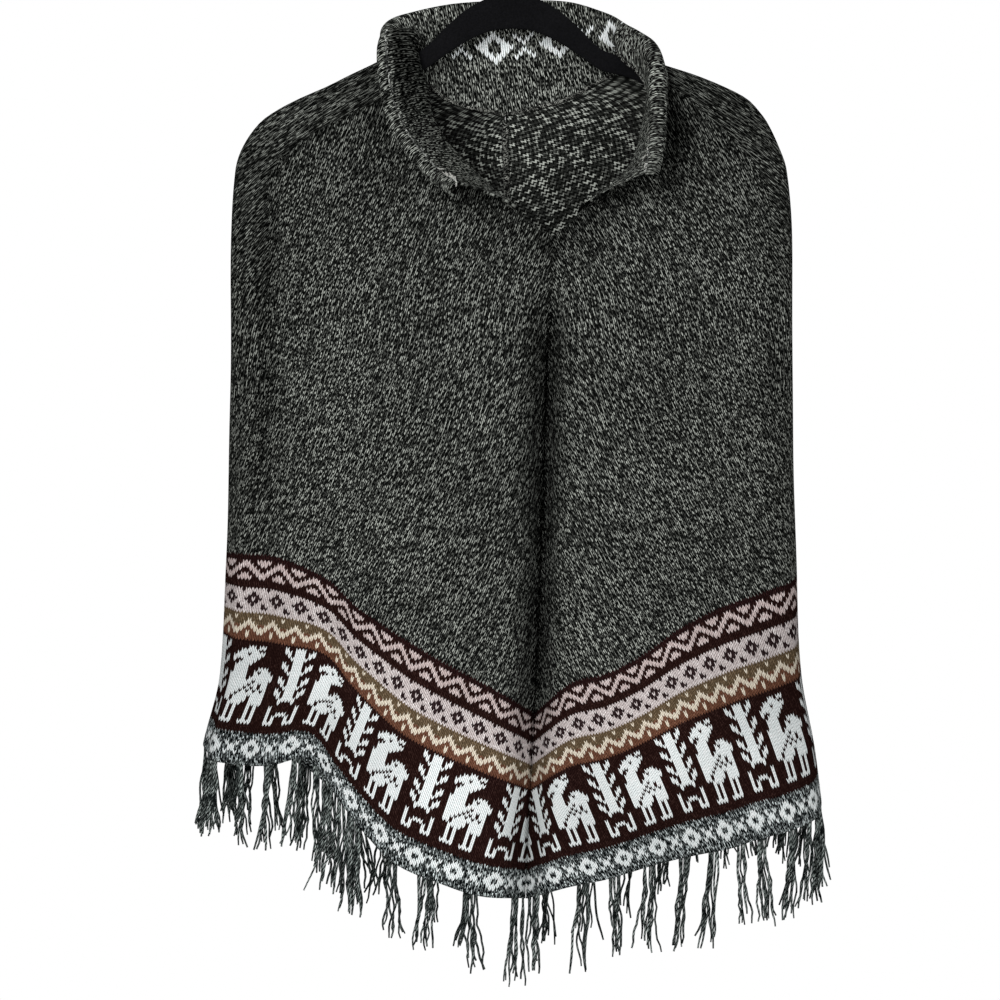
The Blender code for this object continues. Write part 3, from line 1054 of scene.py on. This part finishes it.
# %% The collar's crest
# share of the neckline, x, y, drop of the crest, radius of the roll, fall after it
CRESTS = np.array([
    (0.00, -0.048, -0.082, 0.262, 0.0050, 0.004),
    (0.06, -0.066, -0.080, 0.250, 0.0050, 0.004),
    (0.12, -0.086, -0.072, 0.228, 0.0050, 0.005),
    (0.18, -0.102, -0.058, 0.200, 0.0050, 0.005),
    (0.23, -0.110, -0.041, 0.167, 0.0050, 0.005),
    (0.28, -0.113, -0.018, 0.131, 0.0045, 0.005),
    (0.33, -0.107, 0.010, 0.118, 0.0045, 0.005),
    (0.38, -0.086, 0.026, 0.110, 0.0050, 0.006),
    (0.44, -0.050, 0.031, 0.103, 0.0050, 0.003),
    (0.52, 0.000, 0.035, 0.100, 0.0050, 0.002),
    (0.60, 0.050, 0.032, 0.101, 0.0050, 0.003),
    (0.66, 0.083, 0.026, 0.111, 0.0060, 0.006),
    (0.72, 0.105, 0.010, 0.121, 0.0055, 0.006),
    (0.76, 0.117, -0.013, 0.135, 0.0055, 0.006),
    (0.80, 0.123, -0.034, 0.158, 0.0060, 0.008),
    (0.86, 0.124, -0.052, 0.195, 0.0060, 0.008),
    (0.92, 0.123, -0.065, 0.226, 0.0060, 0.009),
    (1.00, 0.119, -0.077, 0.254, 0.0055, 0.005),
])
COLLAR_START = 1 / 30  # share at which the collar begins beside the front seam
COLLAR_COUNT = 130  # sections on each half
STAND_COUNT, ROLL_COUNT, EDGE_COUNT = 16, 10, 3  # faces up the stand, round the roll, down
CURL_TURN = math.radians(165)
COLLAR_LIFT = 0.0008  # how far above the neckline the collar starts
CREST_STEP = 0.03  # shares of the crest to either side that give its direction
# the Bezier's handles: length and uprightness at the seam, share of the reach at the crest
NECK_STEM, NECK_RISE, CREST_LEAD = 0.009, 0.80, 0.35
UP = np.array([0, 0, 1.0])


def unit(v):
    return v / np.linalg.norm(v, axis=-1, keepdims=True)


def neckline():
    """Points of the neckline from the right end round the back to the left end.

    Also the direction in which the cloth rises to each, and its distance along the line.
    """
    shares = np.linspace(COLLAR_START, 1, COLLAR_COUNT)
    points, rises = [], []
    for half, s in (("right", shares), ("left", shares[::-1][1:])):
        top = neck_drop(half, s)
        points.append(cloth_point(half, s, top))
        rises.append(unit(points[-1] - cloth_point(half, s, top + 0.004)))
    points, rises = np.concatenate(points), np.concatenate(rises)
    return points, rises, lengths_along(points)


def crest_at(share):
    x, y, drop = (column(CRESTS, k, np.clip(share, 0, 1)) for k in (1, 2, 3))
    return np.stack([x, y, -drop], axis=-1)


neck_points, neck_rises, neck_lengths = neckline()
NECK_SHARE = neck_lengths / neck_lengths[-1]
print("neckline, m:", neck_lengths[-1].round(3))


# %% The collar's surface
def collar_surface():
    """The collar's outer surface, as sections x places along a section.

    The stand is the Bezier curve of seam, stem, lead and crest. The roll is the crest
    + radius x (out x (1 - cos) + lean x sin), and the edge runs on straight.
    """
    radius = column(CRESTS, 4, NECK_SHARE)[:, None, None]
    fall = column(CRESTS, 5, NECK_SHARE)[:, None, None]
    base = (neck_points + neck_rises * COLLAR_LIFT)[:, None]
    stem_way = unit(neck_rises + (UP - neck_rises) * NECK_RISE)[:, None]
    stem = base + stem_way * NECK_STEM
    crest = crest_at(NECK_SHARE)[:, None]
    reach = np.linalg.norm(crest - stem, axis=-1, keepdims=True)
    lean = (crest - stem) / reach
    lead = crest - lean * reach * CREST_LEAD
    t = np.linspace(0, 1, STAND_COUNT + 1)[None, :, None]
    stand = (
        base * (1 - t) ** 3
        + stem * 3 * t * (1 - t) ** 2
        + lead * 3 * t**2 * (1 - t)
        + crest * t**3
    )
    line = (crest_at(NECK_SHARE + CREST_STEP) - crest_at(NECK_SHARE - CREST_STEP))[:, None]
    out = unit(np.cross(lean, line))
    turn = CURL_TURN * np.linspace(0, 1, ROLL_COUNT + 1)[None, 1:, None]
    roll = crest + out * radius * (1 - np.cos(turn)) + lean * radius * np.sin(turn)
    down = lean * math.cos(CURL_TURN) + out * math.sin(CURL_TURN)
    edge = roll[:, -1:] + down * fall * np.linspace(0, 1, EDGE_COUNT + 1)[None, 1:, None]
    return np.concatenate([stand, roll, edge], axis=1)


COLLAR_STITCH, COLLAR_ROW, COLLAR_SHIFT = 0.00405, 0.0032, 13.7
LOZENGE_LINE, LOZENGE_ROW = 0.60, 13.5  # share of the stand's height, and its row
LOZENGES_FROM, LOZENGES_TO = 0.41, 0.70  # shares of the neckline
COLLAR_THICK = 0.0022


def collar_shades(height):
    """Painted shade on the collar's two sides, as sections x places: 1 is unshaded.

    The inside has painted shade low down on the wearer's right. The outside has painted
    shade under the roll on the left, and a little along the right front.
    """
    share = np.broadcast_to(NECK_SHARE[:, None], height.shape)
    low = 1 - ease(0.78, 0.97, height / height[:, STAND_COUNT : STAND_COUNT + 1])
    inside = 1 - 0.85 * bell(share - 0.25, 0.13) * low
    under = 1 - ease(0.6, 1.0, height / height[:, -1:])
    outside = 1 - (0.62 * under * (share > 0.7) + 0.28 * (share < 0.33))
    return inside, outside


def make_collar():
    grid = collar_surface()
    height = lengths_along(grid)
    middle = LOZENGE_LINE * height[:, STAND_COUNT : STAND_COUNT + 1]
    row = LOZENGE_ROW + (height - middle) / COLLAR_ROW
    stitch = neck_lengths[:, None] / COLLAR_STITCH + COLLAR_SHIFT
    faces = quads(*height.shape, flip=False)
    stitches = np.stack([np.broadcast_to(stitch, row.shape), row], axis=-1)
    uv = stitches.reshape(-1, 2)[faces]
    share = NECK_SHARE[faces[:, 0] // height.shape[1]]
    uv[(share < LOZENGES_FROM) | (share > LOZENGES_TO), :, 1] += 60  # past the card's rows
    piece = build_mesh("collar_band", grid, faces.tolist(), uv)
    inside, outside = collar_shades(height)
    # painted shade for the collar's inside and outside
    set_attribute(piece, "Depth", inside)
    set_attribute(piece, "Shade", outside)
    dress(piece, collar_knit, collar_inside)
    return thicken(piece, COLLAR_THICK, inner_material=1)


collar = make_collar()
print("faces in the collar:", len(collar.data.polygons))

# %% [markdown]
# ## Yarn, seams and the fringe
#
# The seams are turned inwards, so they show as soft ridges inside the neck, and a
# few pale thread ends lie on the rolled edge. The fringe is tufts of yarn drawn
# through the hem. Each of these is a tube along a path, so one function makes them
# all: a ring of points round every place of every path, worked out at once. Hair
# strands would look softer, but they can't be exported as a mesh.


# %% Tubes
def ring_faces(strands, places, sides):
    """Faces of closed tubes: quads from ring to ring, then a cap at either end.

    Also the numbers of the strand, place and side at which each quad starts.
    """
    n, m, k = np.meshgrid(
        np.arange(strands), np.arange(places - 1), np.arange(sides), indexing="ij"
    )
    base, after = (n * places + m) * sides, (k + 1) % sides
    walls = [base + k, base + after, base + sides + after, base + sides + k]
    first = (np.arange(strands) * places * sides)[:, None] + np.arange(sides)[None, ::-1]
    last = first[:, ::-1] + (places - 1) * sides
    faces = np.stack(walls, -1).reshape(-1, 4).tolist() + first.tolist() + last.tolist()
    return faces, (n, m, k)


def tubes(name, paths, radius, sides, away, twist=0.005, flatten=1.0):
    """Closed tubes along many paths, an array of strands x places x 3.

    Each ring is path + radius x (cos t x side + flatten x sin t x out), where side is
    square to the path and to away, and out is square to both. The UV is the length
    over twist, and the turn round the tube plus the strand's number.
    """
    strands, places = paths.shape[:2]
    way = unit(np.gradient(paths, axis=1))
    side = unit(np.cross(way, np.broadcast_to(away, paths.shape)))
    out = np.cross(side, way)
    turn = 2 * math.pi * np.arange(sides)[:, None] / sides
    ring = side[:, :, None] * np.cos(turn) + out[:, :, None] * (flatten * np.sin(turn))
    radius = np.broadcast_to(radius, (strands, places))[..., None, None]
    faces, (n, m, k) = ring_faces(strands, places, sides)
    length = lengths_along(paths)
    low, high = length[n, m] / twist, length[n, m + 1] / twist
    start, end = n + k / sides, n + (k + 1) / sides
    corners = [(low, start), (low, end), (high, end), (high, start)]
    uv = np.stack([np.stack(corner, -1) for corner in corners], axis=-2).reshape(-1, 2)
    caps = np.full((2 * strands * sides, 2), 0.5)
    points = paths[:, :, None] + radius * ring
    return build_mesh(name, points, faces, np.concatenate([uv, caps]), "Strand")


print("faces of one tube of 10 rings of 8:", len(ring_faces(1, 10, 8)[0]))


# %% Yarn
def yarn_material(name, colours, share_pale, tone, wander=0.0):
    """Two-ply yarn: a screw of pale ply round the strand, and its own tone each.

    wander pushes the screw about, for a ridge where many yarns lie together.
    """
    material, tree, shader = new_material(name, 0.95)
    u, v, _ = split(tree, uv_of(tree, "Strand"))
    strand = whole(v)
    place = object_place(tree)
    stray = cloud(tree, place, 240.0) * wander
    screw = part(u + v * 2.0 + stray + dice(tree, strand, 3.0, 1.0))
    half_wide = share_pale / 2
    ply = 1.0 - steps_up(size_of(screw - 0.5), half_wide - 0.07, half_wide + 0.07)
    patch = steps_up(cloud(tree, place, 160.0), 0.3, 0.65)
    bright = 0.25 + dice(tree, strand, 6.0, 2.0) * 0.75
    colour = mixed(tree, ply * patch * bright, *colours)
    colour = uneven(tree, colour, place, 60.0, 1 - tone, 1 + tone)
    round_off = size_of(part(u * 2.0 + v * 4.0) - 0.5) * 2.0
    height = 1.0 - round_off * round_off + cloud(tree, place, 1500.0) * 0.4
    finish_surface(tree, shader, colour, height, 0.7, 0.0008)
    return material


FRINGE_PLIES = plies((20, 24, 24), (178, 188, 184))
SEAM_PLIES = plies((14, 14, 14), (176, 178, 170))
EDGE_PLIES = plies((40, 41, 40), (205, 208, 202))
THREAD_PLIES = plies((150, 150, 145), (236, 236, 230))
fringe_yarn = yarn_material("fringe_yarn", FRINGE_PLIES, 0.5, 0.3)
seam_yarn = yarn_material("seam_yarn", SEAM_PLIES, 0.40, 0.4, wander=5.0)
edge_yarn = yarn_material("edge_yarn", EDGE_PLIES, 0.55, 0.3, wander=3.0)
thread_white = yarn_material("thread_white", THREAD_PLIES, 0.7, 0.15)
print("nodes in the fringe's yarn:", len(fringe_yarn.node_tree.nodes))


# %% The fringe
TUFT_GAP, TUFT_WIDE = 0.0255, 0.0042  # metres from tuft to tuft, and half a tuft's width
FEWEST, MOST = 6, 9  # strands in a tuft
SHORTEST, LONGEST = 0.068, 0.082  # metres that a tuft reaches
CLUMP = [0.181, 0.193, 0.205]  # shares of three more tufts, on the right half
CLUMP_FROM, CLUMP_TO, CLUMP_LONGER = 0.16, 0.23, 0.012
STRAND_THICK, STRAND_COUNT = 0.00095, 14  # radius in metres, and segments
KINK = 0.0013  # sideways metres


def make_fringe(half, seed):
    """Tufts about 25 mm apart, each of six to nine kinked strands.

    A strand starts inside the hem, falls by its own length, drifts sideways as the
    1.6th power of the way down, and kinks as two sine waves that grow with it.
    """
    rng = np.random.default_rng(seed)
    tufts = np.arange(0.012, 0.992, TUFT_GAP / HALF_ROUND)
    tufts = tufts + rng.uniform(-0.006, 0.006, len(tufts))
    if half == "right":
        tufts = np.concatenate([tufts, CLUMP])
    counts = rng.integers(FEWEST, MOST + 1, len(tufts))
    centre = np.repeat(tufts, counts)
    n = len(centre)
    in_clump = (tufts > CLUMP_FROM) & (tufts < CLUMP_TO)
    reach = rng.uniform(SHORTEST, LONGEST, len(tufts)) + CLUMP_LONGER * in_clump
    reach = np.repeat(reach, counts)
    lean = np.repeat(rng.normal(0, 0.005, len(tufts)), counts)
    aside = rng.uniform(-TUFT_WIDE, TUFT_WIDE, n) / HALF_ROUND
    share = np.clip(centre + aside, 0.002, 0.998)
    drop = hem_drop(half, share) - 0.003
    start = cloth_point(half, share, drop, inset=0.0012)
    ahead = cloth_point(half, np.minimum(share + 0.01, 1), drop)
    behind = cloth_point(half, np.maximum(share - 0.01, 0), drop)
    sideways = unit((ahead - behind) * np.array([1, 1, 0.0]))
    outwards = np.cross(sideways, UP)
    t = np.linspace(0, 1, STRAND_COUNT + 1)[None, :]
    length = (reach * rng.uniform(0.86, 1.06, n))[:, None]
    spread = (rng.normal(0, 0.0055, n) + lean)[:, None] * t**1.6
    bulge = rng.normal(0, 0.0040, n)[:, None] * t**1.3
    phase = rng.uniform(0, 2 * math.pi, (4, n, 1))
    rate = rng.uniform(5, 13, (4, n, 1))
    grow = KINK * ease(0.0, 0.5, t)
    spread = spread + grow * (np.sin(rate[0] * t + phase[0]) - np.sin(phase[0]) * (1 - t))
    spread = spread + grow * 0.5 * np.sin(2.3 * rate[1] * t + phase[1])
    bulge = bulge + grow * np.sin(rate[2] * t + phase[2])
    paths = (
        start[:, None]
        + sideways[:, None] * spread[..., None]
        + outwards[:, None] * bulge[..., None]
        - UP * (length * t)[..., None]
    )
    taper = 1 - 0.25 * ease(0.85, 1.0, t)
    radius = STRAND_THICK * taper * rng.uniform(0.85, 1.15, n)[:, None]
    piece = tubes(half + "_tufts", paths, radius, 4, np.array([0, 1.0, 0.05]))
    dress(piece, fringe_yarn)
    print(half, "fringe:", len(tufts), "tufts,", n, "strands")
    return piece


fringes = {"right": make_fringe("right", 11), "left": make_fringe("left", 12)}


# %% The ridges of the seams
SEAM_RADIUS, NECK_RADIUS = 0.0030, 0.0018
SEAM_INSET, NECK_INSET = 0.0042, 0.0036  # how far inwards their middles lie
WANDER, WANDER_RATE = 0.0004, 900  # how far a seam strays, and how often down its length


def seam_ridge(name, points, away, radius, flatten):
    piece = tubes(name, points[None], radius, 8, away, twist=0.0042, flatten=flatten)
    dress(piece, seam_yarn)
    return piece


def make_ridges():
    """Soft ridges on the inner side: down both seams, and round under the collar."""
    pieces = []
    for name, share, sign in (("front", 0.0, 1.0), ("back", 1.0, -1.0)):
        drop = np.linspace(float(neck_drop("right", share)) + 0.004, 0.885, 220)
        line = (cloth_point("right", share, drop) + cloth_point("left", share, drop)) / 2
        line = line + np.array([0, sign * SEAM_INSET, 0])
        line[:, 0] += WANDER * np.sin(drop * WANDER_RATE)
        away = np.array([0, 1.0, 0])
        pieces.append(seam_ridge(name + "_seam_ridge", line, away, SEAM_RADIUS, 0.65))
    inwards = unit(np.cross(np.gradient(neck_points, axis=0), neck_rises))
    towards = (np.array([0.0, 0.0, -0.18]) - neck_points) * inwards
    inwards = inwards * np.sign(np.sum(towards, axis=1, keepdims=True))
    line = neck_points + inwards * NECK_INSET + neck_rises * 0.001
    pieces.append(seam_ridge("neck_seam_ridge", line[3:-3], inwards[3:-3], NECK_RADIUS, 0.6))
    return pieces


ridges = make_ridges()
print("faces in the ridges:", [len(ridge.data.polygons) for ridge in ridges])


# %% Stitches along the collar's edge, and loose thread ends
CREST_LENGTH = 0.55  # metres along the crest
EDGE_STITCHES, THREAD_ENDS = (48, 40), 16  # on the right and the left; at each corner


def edge_threads(name, share, lengths, width, seed, material, drift):
    """Short yarns on the crest of the collar.

    Each runs along the crest for its length, bows outwards as the cosine of the
    distance from its middle, and drifts to one side of the crest by its own amount.
    """
    rng = np.random.default_rng(seed)
    n = len(share)
    t = np.linspace(-0.5, 0.5, 6)[None, :]
    along = crest_at(share[:, None] + t * (lengths / CREST_LENGTH)[:, None])
    way = unit(np.gradient(along, axis=1))
    outwards = np.array([0.0, -1.0, 0.15])
    across = unit(np.cross(way, outwards))
    bow = np.cos(math.pi * t) * 0.0012 + 0.0006
    aside = rng.normal(0, drift, (n, 1)) + rng.normal(0, drift * 1.2, (n, 1)) * t * 2
    lift = rng.uniform(0.8, 1.4, (n, 1)) * bow
    paths = along + outwards * lift[..., None] + across * aside[..., None]
    paths = paths + np.array([0, 0, 0.0006])
    piece = tubes(name, paths, width, 5, np.array([0.1, 1.0, 0.05]))
    dress(piece, material)
    return piece


edge_share = np.concatenate(
    [np.linspace(0.01, 0.30, EDGE_STITCHES[0]), np.linspace(0.80, 0.99, EDGE_STITCHES[1])]
)
edge_lengths = np.full(len(edge_share), 0.0052)
edge_stitches = edge_threads(
    "edge_stitches", edge_share, edge_lengths, 0.0011, 21, edge_yarn, 0.0006
)
rng_ends = np.random.default_rng(22)
end_share = np.concatenate(
    [rng_ends.uniform(0.0, 0.07, THREAD_ENDS), rng_ends.uniform(0.91, 0.99, THREAD_ENDS)]
)
end_lengths = rng_ends.uniform(0.005, 0.011, len(end_share))
thread_ends = edge_threads(
    "thread_ends", end_share, end_lengths, 0.0007, 23, thread_white, 0.0014
)
edging = [edge_stitches, thread_ends]
print("edge stitches and thread ends:", len(edge_share), len(end_share))

# %% [markdown]
# ## The hanger
#
# A slim hanger with black flocking, which shows inside the neck as a matt black
# arch, and a steel hook. The arms are a rounded section carried from tip to tip, with
# its height read from a table; the hook is a wire along a smooth curve through a few
# points. The hook of a real hanger turns in its socket; here it is fixed.

# %% The arms
# distance from the middle, drops of the upper and the lower edge
ARMS = np.array([
    (0.0000, 0.0900, 0.1205), (0.0200, 0.0925, 0.1230), (0.0430, 0.1050, 0.1335),
    (0.0600, 0.1200, 0.1445), (0.0800, 0.1390, 0.1580), (0.1000, 0.1460, 0.1630),
    (0.1250, 0.1560, 0.1730), (0.1600, 0.1755, 0.1920), (0.1900, 0.1900, 0.2060),
    (0.2100, 0.2000, 0.2150), (0.2200, 0.2070, 0.2175),
])
# half the hanger's width, half the arms' depth, and points round their section
ARM_REACH, ARM_DEEP, ARM_SIDES = 0.22, 0.0038, 24


def rounded(swing):
    """sign x |swing|^0.5, which turns a circle's sine or cosine into an oblong's."""
    return np.sign(swing) * np.abs(swing) ** 0.5


def make_arms():
    """The arms: at each x a rounded upright section between the two table lines.

    The section is rounded(sin) by rounded(cos), which is a rounded oblong, and it
    shrinks to a point over the last millimetres of each tip.
    """
    half_x = ARM_REACH * np.sin(np.linspace(0, math.pi / 2, 70))
    x = np.concatenate([-half_x[::-1], half_x[1:]])
    top, bottom = (column(ARMS, k, np.abs(x))[:, None] for k in (1, 2))
    close = np.sqrt(np.clip((ARM_REACH + 0.0001 - np.abs(x)) / 0.006, 0, 1))[:, None]
    turn = 2 * math.pi * (np.arange(ARM_SIDES) + 0.5) / ARM_SIDES
    z = -(top + bottom) / 2 + rounded(np.sin(turn)) * (bottom - top) / 2 * close
    y = rounded(np.cos(turn)) * ARM_DEEP * close
    grid = np.stack([np.broadcast_to(x[:, None], z.shape), y, z], axis=-1)
    return build_mesh("velvet_arms", grid, ring_faces(1, len(x), ARM_SIDES)[0])


arms = make_arms()
print("faces in the arms:", len(arms.data.polygons))


# %% The hook
HOOK_RADIUS, WIRE_RADIUS = 0.0195, 0.0018
HOOK_START, HOOK_TURN = -72, 250  # degrees from +X at which the circle starts, and its turn


def make_hook():
    """The wire: up out of the arms, out to one side, and round over the rail.

    A smooth curve through the stem's points, 17 points of a circle and the tip.
    """
    centre = WIRE_RADIUS - HOOK_RADIUS
    turn = np.radians(HOOK_START + HOOK_TURN * np.arange(17) / 16)
    arc = np.stack([np.cos(turn), np.sin(turn)], axis=-1) * HOOK_RADIUS + [0, centre]
    stem = [(0, -0.0897), (0, -0.0777), (0.0015, centre - HOOK_RADIUS - 0.014)]
    tip = arc[-1] + np.array([-0.002, -0.006])
    knots = np.concatenate([stem, arc, [tip]])
    places = np.arange(len(knots), dtype=float)
    at = np.linspace(0, len(knots) - 1, 150)
    x, z = through(places, knots[:, 0], at), through(places, knots[:, 1], at)
    path = np.stack([x, np.zeros_like(x), z], axis=-1)[None]
    return tubes("wire_hook", path, WIRE_RADIUS, 16, np.array([0, 1.0, 0]))


hook = make_hook()
print("faces in the hook:", len(hook.data.polygons))


# %% Flocking and steel
BLACKS = (0.0022, 0.0022, 0.0024), (0.008, 0.008, 0.009)
STEELS = (0.52, 0.52, 0.53), (0.70, 0.70, 0.71)


def velvet_material():
    """Flocking: nearly black, matt, with a soft sheen and a fine nap."""
    material, tree, shader = new_material("velvet", 1.0, sheen=0.01)
    place = object_place(tree)
    colour = mixed(tree, cloud(tree, place, 700.0), *BLACKS)
    colour = uneven(tree, colour, place, 25.0, 0.7, 1.3)
    finish_surface(tree, shader, colour, cloud(tree, place, 2500.0), 0.5, 0.0004)
    return material


def steel_material():
    """Drawn and plated wire: bright, with faint streaks along it."""
    material, tree, shader = new_material("steel", 0.25, shine=0.5)
    shader.inputs["Metallic"].default_value = 1.0
    place = object_place(tree)
    streak = cloud(tree, place, 300.0, 3.0)
    colour = mixed(tree, streak, *STEELS)
    plug(tree, streak * 0.16 + 0.16, shader.inputs["Roughness"])
    finish_surface(tree, shader, colour, streak, 0.15, 0.0003)
    return material


dress(arms, velvet_material())
dress(hook, steel_material())
print("materials so far:", len(bpy.data.materials))

# %% [markdown]
# ## Floor, light and camera
#
# The floor is plain and pale, well below the hem. One soft light stands at the upper
# left, a weaker one at the right, and a third lights the back. The world is white
# to the camera, but lights the cloth at half that strength, so that the folds keep
# their shadows. The camera looks straight at the front from far off, so the shoulders
# keep their width.

# %% The floor
FLOOR_RADIUS, FLOOR_LEVEL = 2.0, -1.35
turns = np.linspace(0, 2 * math.pi, 64, endpoint=False)
rim = [FLOOR_RADIUS * np.cos(turns), FLOOR_RADIUS * np.sin(turns), np.full(64, FLOOR_LEVEL)]
floor = build_mesh("floor", np.stack(rim, axis=-1), [list(range(64))])
floor_paint, floor_tree, floor_shader = new_material("floor_paint", 0.9)
floor_tone = cloud(floor_tree, object_place(floor_tree), 3.0)
floor_colour = mixed(floor_tree, floor_tone, (0.80, 0.80, 0.79), (0.84, 0.84, 0.83))
plug(floor_tree, floor_colour, floor_shader.inputs["Base Color"])
dress(floor, floor_paint)
print("floor's level:", FLOOR_LEVEL)


# %% The lights
MIDDLE = np.array([0, 0, -0.5])  # where the lights point


def soft_light(name, place, size, power):
    lamp = bpy.data.lights.new(name, "AREA")
    lamp.shape, lamp.size, lamp.energy = "SQUARE", size, power
    light = bpy.data.objects.new(name, lamp)
    bpy.context.scene.collection.objects.link(light)
    light.location = place
    light.rotation_euler = Vector(MIDDLE - place).to_track_quat("-Z", "Y").to_euler()


soft_light("key_light", (-0.9, -2.4, 0.6), 1.0, 52)
soft_light("fill_light", (1.6, -2.2, 0.1), 1.4, 18)
soft_light("back_light", (0.4, 2.6, 0.4), 1.4, 45)
world = bpy.data.worlds.new("white_room")
world.use_nodes = True
room = world.node_tree
seen, filling = room.nodes["Background"], room.nodes.new("ShaderNodeBackground")
for background, strength in ((seen, 1.0), (filling, 0.5)):
    background.inputs["Color"].default_value = (1, 1, 1, 1)
    background.inputs["Strength"].default_value = strength
either = room.nodes.new("ShaderNodeMixShader")
sight = room.nodes.new("ShaderNodeLightPath")
room.links.new(sight.outputs["Is Camera Ray"], either.inputs[0])
room.links.new(filling.outputs[0], either.inputs[1])
room.links.new(seen.outputs[0], either.inputs[2])
room.links.new(either.outputs[0], room.nodes["World Output"].inputs[0])
bpy.context.scene.world = world
bpy.context.scene.view_settings.view_transform = "Standard"
print("lights:", [lamp.name for lamp in bpy.data.lights])

# %% The camera
# side of the square in view, its middle, distance to the poncho's front, sensor in mm
VIEW_SIDE, VIEW_X, VIEW_Z = 0.89, -0.0107, -0.543
STAND_OFF, FRONT_Y, SENSOR = 10.0, -0.07, 36.0
camera_data = bpy.data.cameras.new("camera")
camera_data.sensor_width = SENSOR
camera_data.lens = SENSOR * STAND_OFF / VIEW_SIDE
camera = bpy.data.objects.new("camera", camera_data)
camera.location = (VIEW_X, FRONT_Y - STAND_OFF, VIEW_Z)
camera.rotation_euler = (math.pi / 2, 0, 0)
bpy.context.scene.collection.objects.link(camera)
bpy.context.scene.camera = camera
print("lens, mm:", round(camera_data.lens, 1))

# %% [markdown]
# ## Tie the pieces to the frame
#
# Every piece rides on the frame's one body, and the CAD solids that the pieces
# stand in for are hidden.

# %% Ride, and hide the CAD solids
for piece in [*panels.values(), collar, *fringes.values(), *ridges, *edging, arms, hook]:
    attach(piece, "root")
for half in ("right", "left"):
    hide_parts(half + "_half")
    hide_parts(half + "_fringe")
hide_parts("collar")
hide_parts("hanger_body")
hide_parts("hanger_hook")
